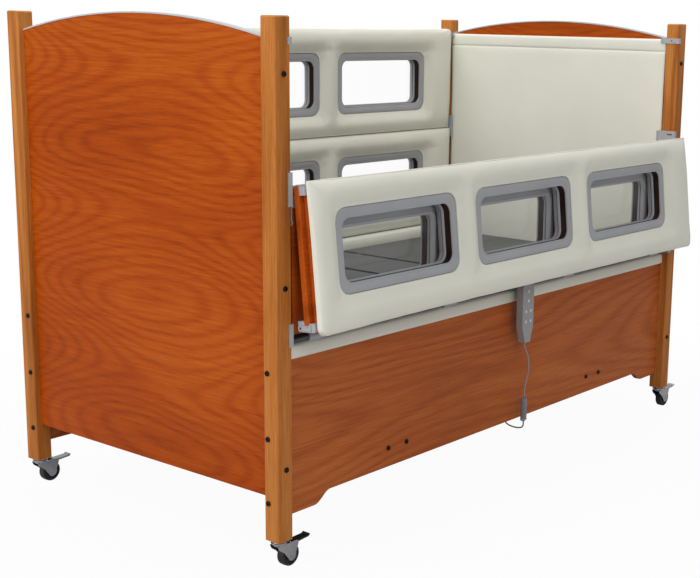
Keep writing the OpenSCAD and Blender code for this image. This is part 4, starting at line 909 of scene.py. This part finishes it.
CORD_Y = -578.0
CORD_D = 5.0
LEAD = [(45, 0, 365), (45, 0, 359), (49, 0, 346), (61, 0, 326), (73, 1, 302), (77, 2, 272), (73, 4, 238),
        (65, 6, 206), (62, 6, 184), (62, 6, 176)]
TAIL = [(62, 6, 84), (62, 6, 76), (62, 12, 66), (62, 30, 61), (61, 56, 62), (60, 74, 69), (60, 81, 82),
        (60, 82, 98), (60, 82, 105)]
ROUTE_STEPS = 6
COIL_X, COIL_Y = 62.0, CORD_Y + 6
COIL_TOP, COIL_FOOT = 176.0, 84.0
COIL_R = 8.5
COIL_JOIN = 3.0
CURLS = 14
CURL_STEPS = 16


def smooth_route(points, steps):
    """Curve through points given as (along, inwards of the cord's plane, height)."""
    p = np.array([(x, CORD_Y + y, z) for x, y, z in points], float)
    out = []
    n = len(p)
    for i in range(n - 1):
        a, b, c, d = p[max(0, i - 1)], p[i], p[i + 1], p[min(n - 1, i + 2)]
        for k in range(steps):
            t = k / steps
            bend = (2 * a - 5 * b + 4 * c - d) * t * t + (3 * b - a - 3 * c + d) * t ** 3
            out.append(b + ((c - a) * t + bend) / 2)
    return out + [p[-1]]


def coil_route():
    """Curls that leave and rejoin the cord's line over half a turn."""
    count = CURLS * CURL_STEPS
    top = COIL_TOP - CORD_D - 1
    fall = COIL_TOP - COIL_FOOT - 2 * CORD_D - 2
    out = []
    for k in range(count + 1):
        a = 2 * math.pi * k / CURL_STEPS
        r = COIL_R * float(smooth(min(k, count - k) / (CURL_STEPS / 2)))
        out.append(np.array([COIL_X + r * math.cos(a), COIL_Y + r * math.sin(a), top - fall * k / count]))
    return out


def tube_mesh(name, path, r, sides=12):
    """Round tube along a path, carried from ring to ring without twist."""
    p = np.array(path, float)
    tangent = np.gradient(p, axis=0)
    tangent /= np.linalg.norm(tangent, axis=1)[:, None]
    normal = np.cross(tangent[0], [1, 0.2, 0.1])
    normal /= np.linalg.norm(normal)
    verts = []
    for i, t in enumerate(tangent):
        normal = normal - t * (normal @ t)
        normal /= np.linalg.norm(normal)
        b = np.cross(t, normal)
        for k in range(sides):
            a = 2 * math.pi * k / sides
            verts.append(p[i] + r * (math.cos(a) * normal + math.sin(a) * b))
    last = (len(p) - 1) * sides
    faces = band_faces(len(p), sides) + [tuple(reversed(range(sides))), tuple(range(last, last + sides))]
    obj = new_object(name, verts, faces)
    outward(obj)
    return obj


def make_cord():
    coil_start = np.array([COIL_X, COIL_Y, COIL_TOP - COIL_JOIN])
    coil_end = np.array([COIL_X, COIL_Y, COIL_FOOT + COIL_JOIN])
    cord_path = smooth_route(LEAD, ROUTE_STEPS)[:-1] + [coil_start] + coil_route()
    cord_path = to_frame(cord_path + [coil_end] + smooth_route(TAIL, ROUTE_STEPS))
    cord = tube_mesh("handset_cord", cord_path, CORD_D / 2000.0)
    paint(cord, "cord")
    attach(cord, "bed")
    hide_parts("handset_cord_lead", "handset_cord_coil", "handset_cord_tail")
    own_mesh(cord)


make_cord()


# Piping along the hinge edge of the upper cushions

PIPING_HALF, PIPING_D, PIPING_UP = 1006.0, PAD_BACK + 5.6, -10.4
PIPING_R = 2.2


def make_piping(side):
    line = np.array([(x, PIPING_D + 0.4 * math.sin(x / 37.0), PIPING_UP)
                     for x in np.linspace(-PIPING_HALF, PIPING_HALF, 90)])
    path = to_frame(rail_points(line, side, "upper"))
    piping = tube_mesh(side + "_piping", path, PIPING_R / 1000.0, 8)
    paint(piping, "vinyl")
    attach(piping, side + "_upper_rail")


for side in SIDES:
    make_piping(side)


# Camera at the place fitted to the photograph, in metres from the bed's middle and degrees

CAMERA_PLACE = (-3.501, -3.0058, 1.3909)
CAMERA_YAW, CAMERA_PITCH, CAMERA_ROLL = 52.619, 11.764, 1.122
CAMERA_LENS = 68.986
CAMERA_SHIFT = (-0.1529, 0.0172)


def make_camera():
    yaw, pitch, roll = (math.radians(v) for v in (CAMERA_YAW, CAMERA_PITCH, CAMERA_ROLL))
    look = Vector((math.sin(yaw) * math.cos(pitch), math.cos(yaw) * math.cos(pitch), -math.sin(pitch)))
    right = Vector((math.cos(yaw), -math.sin(yaw), 0))
    up = right.cross(look)
    rolled_right = right * math.cos(roll) + up * math.sin(roll)
    rolled_up = up * math.cos(roll) - right * math.sin(roll)
    data = bpy.data.cameras.new("camera")
    cam = bpy.data.objects.new("camera", data)
    scene.collection.objects.link(cam)
    m = Matrix((rolled_right, rolled_up, -look)).transposed().to_4x4()
    m.translation = Vector(np.array(CAMERA_PLACE) + SHIFT)
    cam.matrix_world = m
    data.sensor_width = 36.0
    data.lens = CAMERA_LENS
    data.shift_x, data.shift_y = CAMERA_SHIFT
    data.clip_end = 60.0
    scene.camera = cam


make_camera()


# Studio: pale floor, white surroundings, soft lamps

WHITE = (1.0, 1.0, 1.0, 1.0)
WORLD_LIGHT, WORLD_SEEN = 0.5, 1.0
FLOOR_HALF = 30
FADE_FROM, FADE_TO = 1.3, 2.6
FLOOR_SEEN, FADE_SEEN = 0.96, 0.04


def lamp(name, place, target, size, watts):
    data = bpy.data.lights.new(name, "AREA")
    data.shape = "RECTANGLE"
    data.size, data.size_y = size
    data.energy = watts
    obj = bpy.data.objects.new(name, data)
    scene.collection.objects.link(obj)
    obj.location = place
    obj.rotation_euler = (Vector(target) - Vector(place)).to_track_quat("-Z", "Y").to_euler()


def make_world():
    """Plain light on the object, and white where the camera looks past it."""
    world = bpy.data.worlds.new("studio")
    scene.world = world
    world.use_nodes = True
    tree = world.node_tree
    tree.nodes.clear()
    out = tree.nodes.new("ShaderNodeOutputWorld")
    path = tree.nodes.new("ShaderNodeLightPath")
    mix = tree.nodes.new("ShaderNodeMixShader")
    tree.links.new(path.outputs["Is Camera Ray"], mix.inputs[0])
    for socket, strength in ((1, WORLD_LIGHT), (2, WORLD_SEEN)):
        back = tree.nodes.new("ShaderNodeBackground")
        back.inputs[0].default_value = WHITE
        back.inputs[1].default_value = strength
        tree.links.new(back.outputs[0], mix.inputs[socket])
    tree.links.new(mix.outputs[0], out.inputs[0])


def floor_material():
    """Pale floor that the camera sees nearly white by the bed and white further out."""
    t = Tree("floor_white")
    tone = t.noise(t.at, 0.8, 2.0)
    color = t.mix(tone, (0.6, 0.6, 0.6, 1), (0.62, 0.62, 0.62, 1))
    t.surface(color=color, rough=0.9, spec=0.1)
    near = t.out.inputs["Surface"].links[0].from_socket
    away = t.node("VectorMath", {0: t.at}, operation="LENGTH").outputs["Value"]
    fade = t.node("MapRange", {"Value": away, "From Min": FADE_FROM, "From Max": FADE_TO},
                  interpolation_type="SMOOTHSTEP").outputs[0]
    glow = t.node("Emission", {"Color": WHITE, "Strength": 1.0}).outputs[0]
    seen = t.node("LightPath").outputs["Is Camera Ray"]
    share = t.math("MULTIPLY", t.math("MULTIPLY_ADD", fade, FADE_SEEN, FLOOR_SEEN), seen)
    return t.show(t.node("MixShader", {0: share, 1: near, 2: glow}).outputs[0])


def make_floor():
    h = FLOOR_HALF
    floor = new_object("floor", [(-h, -h, 0), (h, -h, 0), (h, h, 0), (-h, h, 0)], [(0, 1, 2, 3)],
                       smooth_shade=False)
    floor.data.materials.append(floor_material())


lamp("key", (-2.6, -4.6, 3.6), (0.1, 0.0, 0.6), (2.6, 2.2), 54)
lamp("side", (-4.6, 0.6, 3.0), (-0.9, 0.0, 1.1), (2.2, 2.2), 98)
lamp("top", (0.4, 0.6, 4.4), (0.1, 0.1, 0.5), (3.6, 3.0), 102)
make_world()
make_floor()

scene.view_settings.view_transform = "Standard"
